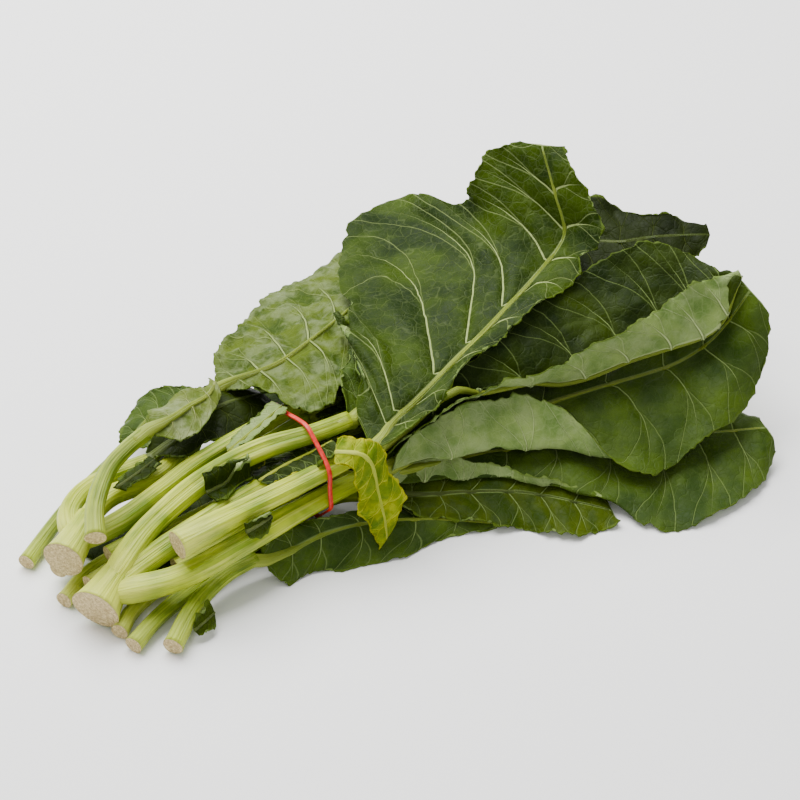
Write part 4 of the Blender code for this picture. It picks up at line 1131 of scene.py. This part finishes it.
for stem_points, stem_first, stem_last in [branch for branches in STEMS.values() for branch in branches]:
    stem_path = even_path(stem_points, CELL)
    pile.add_tube(stem_path, np.linspace(stem_first, stem_last, len(stem_path)) + STEM_GAP)
UPPER_LEAVES = {
    "leaf_far_left": dict(
        stem=("stem_far_left", 0), detail="fine", vein_count=5, radius=3.2, slim=0.5, ruffle=(1.5, 30),
        lines=[
            [(-54, 86, 18), (-42, 94, 20), (-22, 106, 23), (-10, 94, 30), (-4, 80, 35)],
            [(-51, 82, 16), (-38, 86, 21), (-26, 86, 25), (-14, 78, 30), (-6, 72, 34)],
            [(-51, 78, 17), (-42, 70, 18), (-32, 65, 20), (-20, 61, 26), (-10, 63, 31)],
        ]),
    # Its dark upper skin is partly painted shade, the shadow of the leaves that lie over it.
    "leaf_tucked": dict(
        skins=("olive_and_shade", "soft_under"), rib_skin="rib_dull", stem=("stalk_a", 1), detail="fine", vein_count=4,
        radius=3.0, ruffle=(1, 30), frill=0.8,
        lines=[
            [(-60, 53, 34), (-46, 57, 45), (-30, 60, 52), (-15, 57, 54), (8, 58, 46)],
            [(-60, 48, 33), (-46, 42, 43), (-27, 42, 50), (-8, 38, 52), (12, 37, 47)],
            [(-59, 43, 34), (-50, 31, 38), (-28, 25, 44), (-5, 25, 47), (12, 25, 44)],
        ]),
    "leaf_between": dict(
        stem=("stalk_a", 2), radius=3.6, ruffle=(2, 60),
        lines=[
            [(18, 20, 50), (50, 54, 46), (90, 72, 42), (130, 80, 44), (164, 72, 52)],
            [(18, 14, 49), (56, 22, 48), (96, 30, 48), (136, 36, 50), (172, 42, 56)],
            [(20, 8, 50), (60, -6, 50), (100, -8, 52), (140, 0, 54), (174, 22, 58)],
        ]),
    "leaf_flag": dict(
        slot="leaf_pale", skins=("deep", "flag_under"), stem=("stem_flag", 0), flipped=True, detail="fine",
        vein_count=3, radius=4.0, slim=0.5, ruffle=(1, 30), frill=1.2, pillow=0.5,
        lines=[
            [(-66, 43, 61), (-54, 49, 61), (-38, 53, 61), (-24, 50, 60), (-11, 56, 58)],
            [(-66, 39, 60), (-53, 37, 62), (-38, 39, 62), (-25, 41, 61), (-13, 49, 59)],
            [(-66, 35, 60), (-60, 28, 57), (-49, 23, 57), (-30, 31, 58), (-15, 41, 58)],
        ]),
    "leaf_back": dict(
        slot="leaf_pale", skins=("deep", "silver_under"), stem=("stalk_a", 3), flipped=True, detail="fine",
        vein_count=7, radius=4.0, slim=0.4, ruffle=(2.5, 40), frill=1.8, puff=2.6, crumple=2.2, pillow=1.8,
        lines=[
            [(-7, 56, 52), (6, 72, 50), (30, 92, 46), (72, 113, 40), (104, 114, 40), (132, 114, 42),
             (150, 104, 46)],
            [(-8, 51, 51), (3, 44, 57), (22, 37, 61), (48, 41, 61), (82, 50, 59), (118, 62, 56), (150, 76, 52)],
            [(-7, 46, 53), (-1, 22, 62), (5, -8, 64), (22, -10, 64), (46, 4, 62), (92, 22, 58), (140, 50, 54)],
        ]),
    "leaf_behind": dict(
        stem=("stalk_b", 1), detail="fine", vein_count=4, radius=3.8, ruffle=(2.5, 35),
        lines=[
            [(25, -18, 58), (44, 6, 60), (66, 22, 60), (92, 24, 60)],
            [(24, -22, 57), (42, -17, 59), (64, -6, 61), (90, 4, 62)],
            [(26, -26, 58), (42, -32, 58), (66, -26, 61), (92, -12, 63)],
        ]),
}
for leaf_name, leaf in UPPER_LEAVES.items():
    lay_leaf(leaf_name, leaf)

# ---- The big leaf on top ----
# The largest leaf, whole and dark, with a thick pale midrib and side veins that fork before the margin.
# It drapes over the bunch, with its tip bent up against the leaves behind.

TOP_LEAVES = {
    "leaf_centre": dict(
        skins=("deep", "soft_under"), stem=("stem_centre", 0), detail="fine",
        veins=([0.19, 0.27, 0.43, 0.535, 0.635, 0.75, 0.84, 0.92],
               [0.25, 0.38, 0.50, 0.60, 0.70, 0.76, 0.85, 0.93]),
        bow=0.16, radius=4.4, ruffle=(2.5, 55), frill=1.8,
        notches=[(-1, 1.75, 0.3, 15, 5), (1, 6.2, 0.3, 6, 3)],
        lines=[
            [(19, -42, 56), (28, -22, 55), (44, -6, 56), (68, 42, 52), (80, 42, 62), (104, 80, 59),
             (145, 114, 60), (178, 106, 70), (180, 64, 84), (179, 54, 98), (186, 54, 110), (196, 50, 120),
             (206, 38, 127)],
            [(18, -46, 56), (23, -45, 57), (29, -44, 57), (36, -42, 58), (48, -40, 60), (69, -36, 63),
             (92, -30, 66), (118, -25, 70), (148, -19, 75), (181, -11, 80), (199, -7, 90), (202, 4, 108),
             (209, 24, 131)],
            [(20, -50, 57), (28, -53, 59), (38, -53, 60), (48, -53, 62), (62, -51, 64), (82, -46, 68),
             (107, -40, 72), (134, -36, 75), (160, -35, 78), (188, -34, 84), (204, -31, 98), (209, -12, 116),
             (216, 14, 131)],
        ]),
}
for leaf_name, leaf in TOP_LEAVES.items():
    lay_leaf(leaf_name, leaf)

# ---- The wilted leaf and the small leaflets ----
# A thin leaf gone yellow, hanging over the band, and scraps of blade left on the stems.
# They are the thinnest pieces of the bunch.

SMALL_LEAVES = {
    "leaf_wilted": dict(
        slot="leaf_yellow", skins=("wilted", "wilted_under"), rib_skin="rib_yellow", detail="fine",
        vein_count=6, radius=1.8, slim=0.55, ruffle=(1.5, 25), frill=2.2, puff=2.6, crumple=1.6,
        lines=[
            [(2, -36, 64), (9, -48, 67), (16, -53, 62), (18, -60, 48), (21, -66, 30), (18, -68, 16)],
            [(-5, -42, 62), (2, -54, 64), (7, -59, 56), (8, -62, 40), (9, -66, 22), (8, -69, 10)],
            [(-9, -46, 59), (-4, -55, 56), (-2, -58, 42), (-4, -58, 31), (-1, -62, 18), (3, -69, 6)],
        ]),
    "leaflet_flap": dict(
        slot="leaf_pale", skins=("soft_under", "scrap"), vein_count=3, radius=1.2, ruffle=(0, 30), frill=0.3,
        pillow=0.3,
        lines=[
            [(-36, 12, 50), (-18, 14, 56), (-1, 14, 61)],
            [(-38, 8, 50), (-18, 7, 57), (0, 7, 62)],
            [(-37, 5, 51), (-17, 2, 58), (0, 2, 63)],
        ]),
    "leaflet_small": dict(
        LEAFLET,
        lines=[
            [(-62, 0, 44), (-50, -4, 46), (-38, -9, 46)],
            [(-64, -6, 44), (-52, -9, 45), (-38, -11, 46)],
            [(-63, -13, 42), (-54, -14, 43), (-39, -14, 45)],
        ]),
    "leaflet_side": dict(
        LEAFLET,
        lines=[
            [(-66, -40, 46), (-57, -41, 47), (-50, -41, 46)],
            [(-67, -43, 42), (-57, -44, 43), (-49, -43, 43)],
            [(-66, -44, 38), (-57, -46, 38), (-50, -44, 41)],
        ]),
    "leaflet_table": dict(
        LEAFLET, radius=0.8,
        lines=[
            [(-110, -52, 12), (-103, -50, 13), (-96, -48, 13)],
            [(-112, -54, 8), (-104, -53, 9), (-96, -51, 9)],
            [(-111, -56, 5), (-104, -56, 6), (-98, -54, 6)],
        ]),
    "leaflet_curl": dict(
        slot="leaf_yellow", skins=("dimmed_for_lamp", "wilted_under"), rib_skin="rib_yellow", eased=False,
        detail="fine", vein_count=5, radius=1.2, slim=0.4, ruffle=(1, 14), frill=2.2, puff=3.0, pillow=0.2,
        lines=[
            [(-38, -8, 43), (-22, -7, 44), (-8, -12, 48), (6, -20, 50)],
            [(-38, -18, 46), (-22, -21, 50), (-8, -24, 52), (4, -30, 58)],
            [(-36, -25, 46), (-21, -31, 49), (-8, -34, 52), (0, -40, 60)],
        ]),
}
for leaf_name, leaf in SMALL_LEAVES.items():
    lay_leaf(leaf_name, leaf)
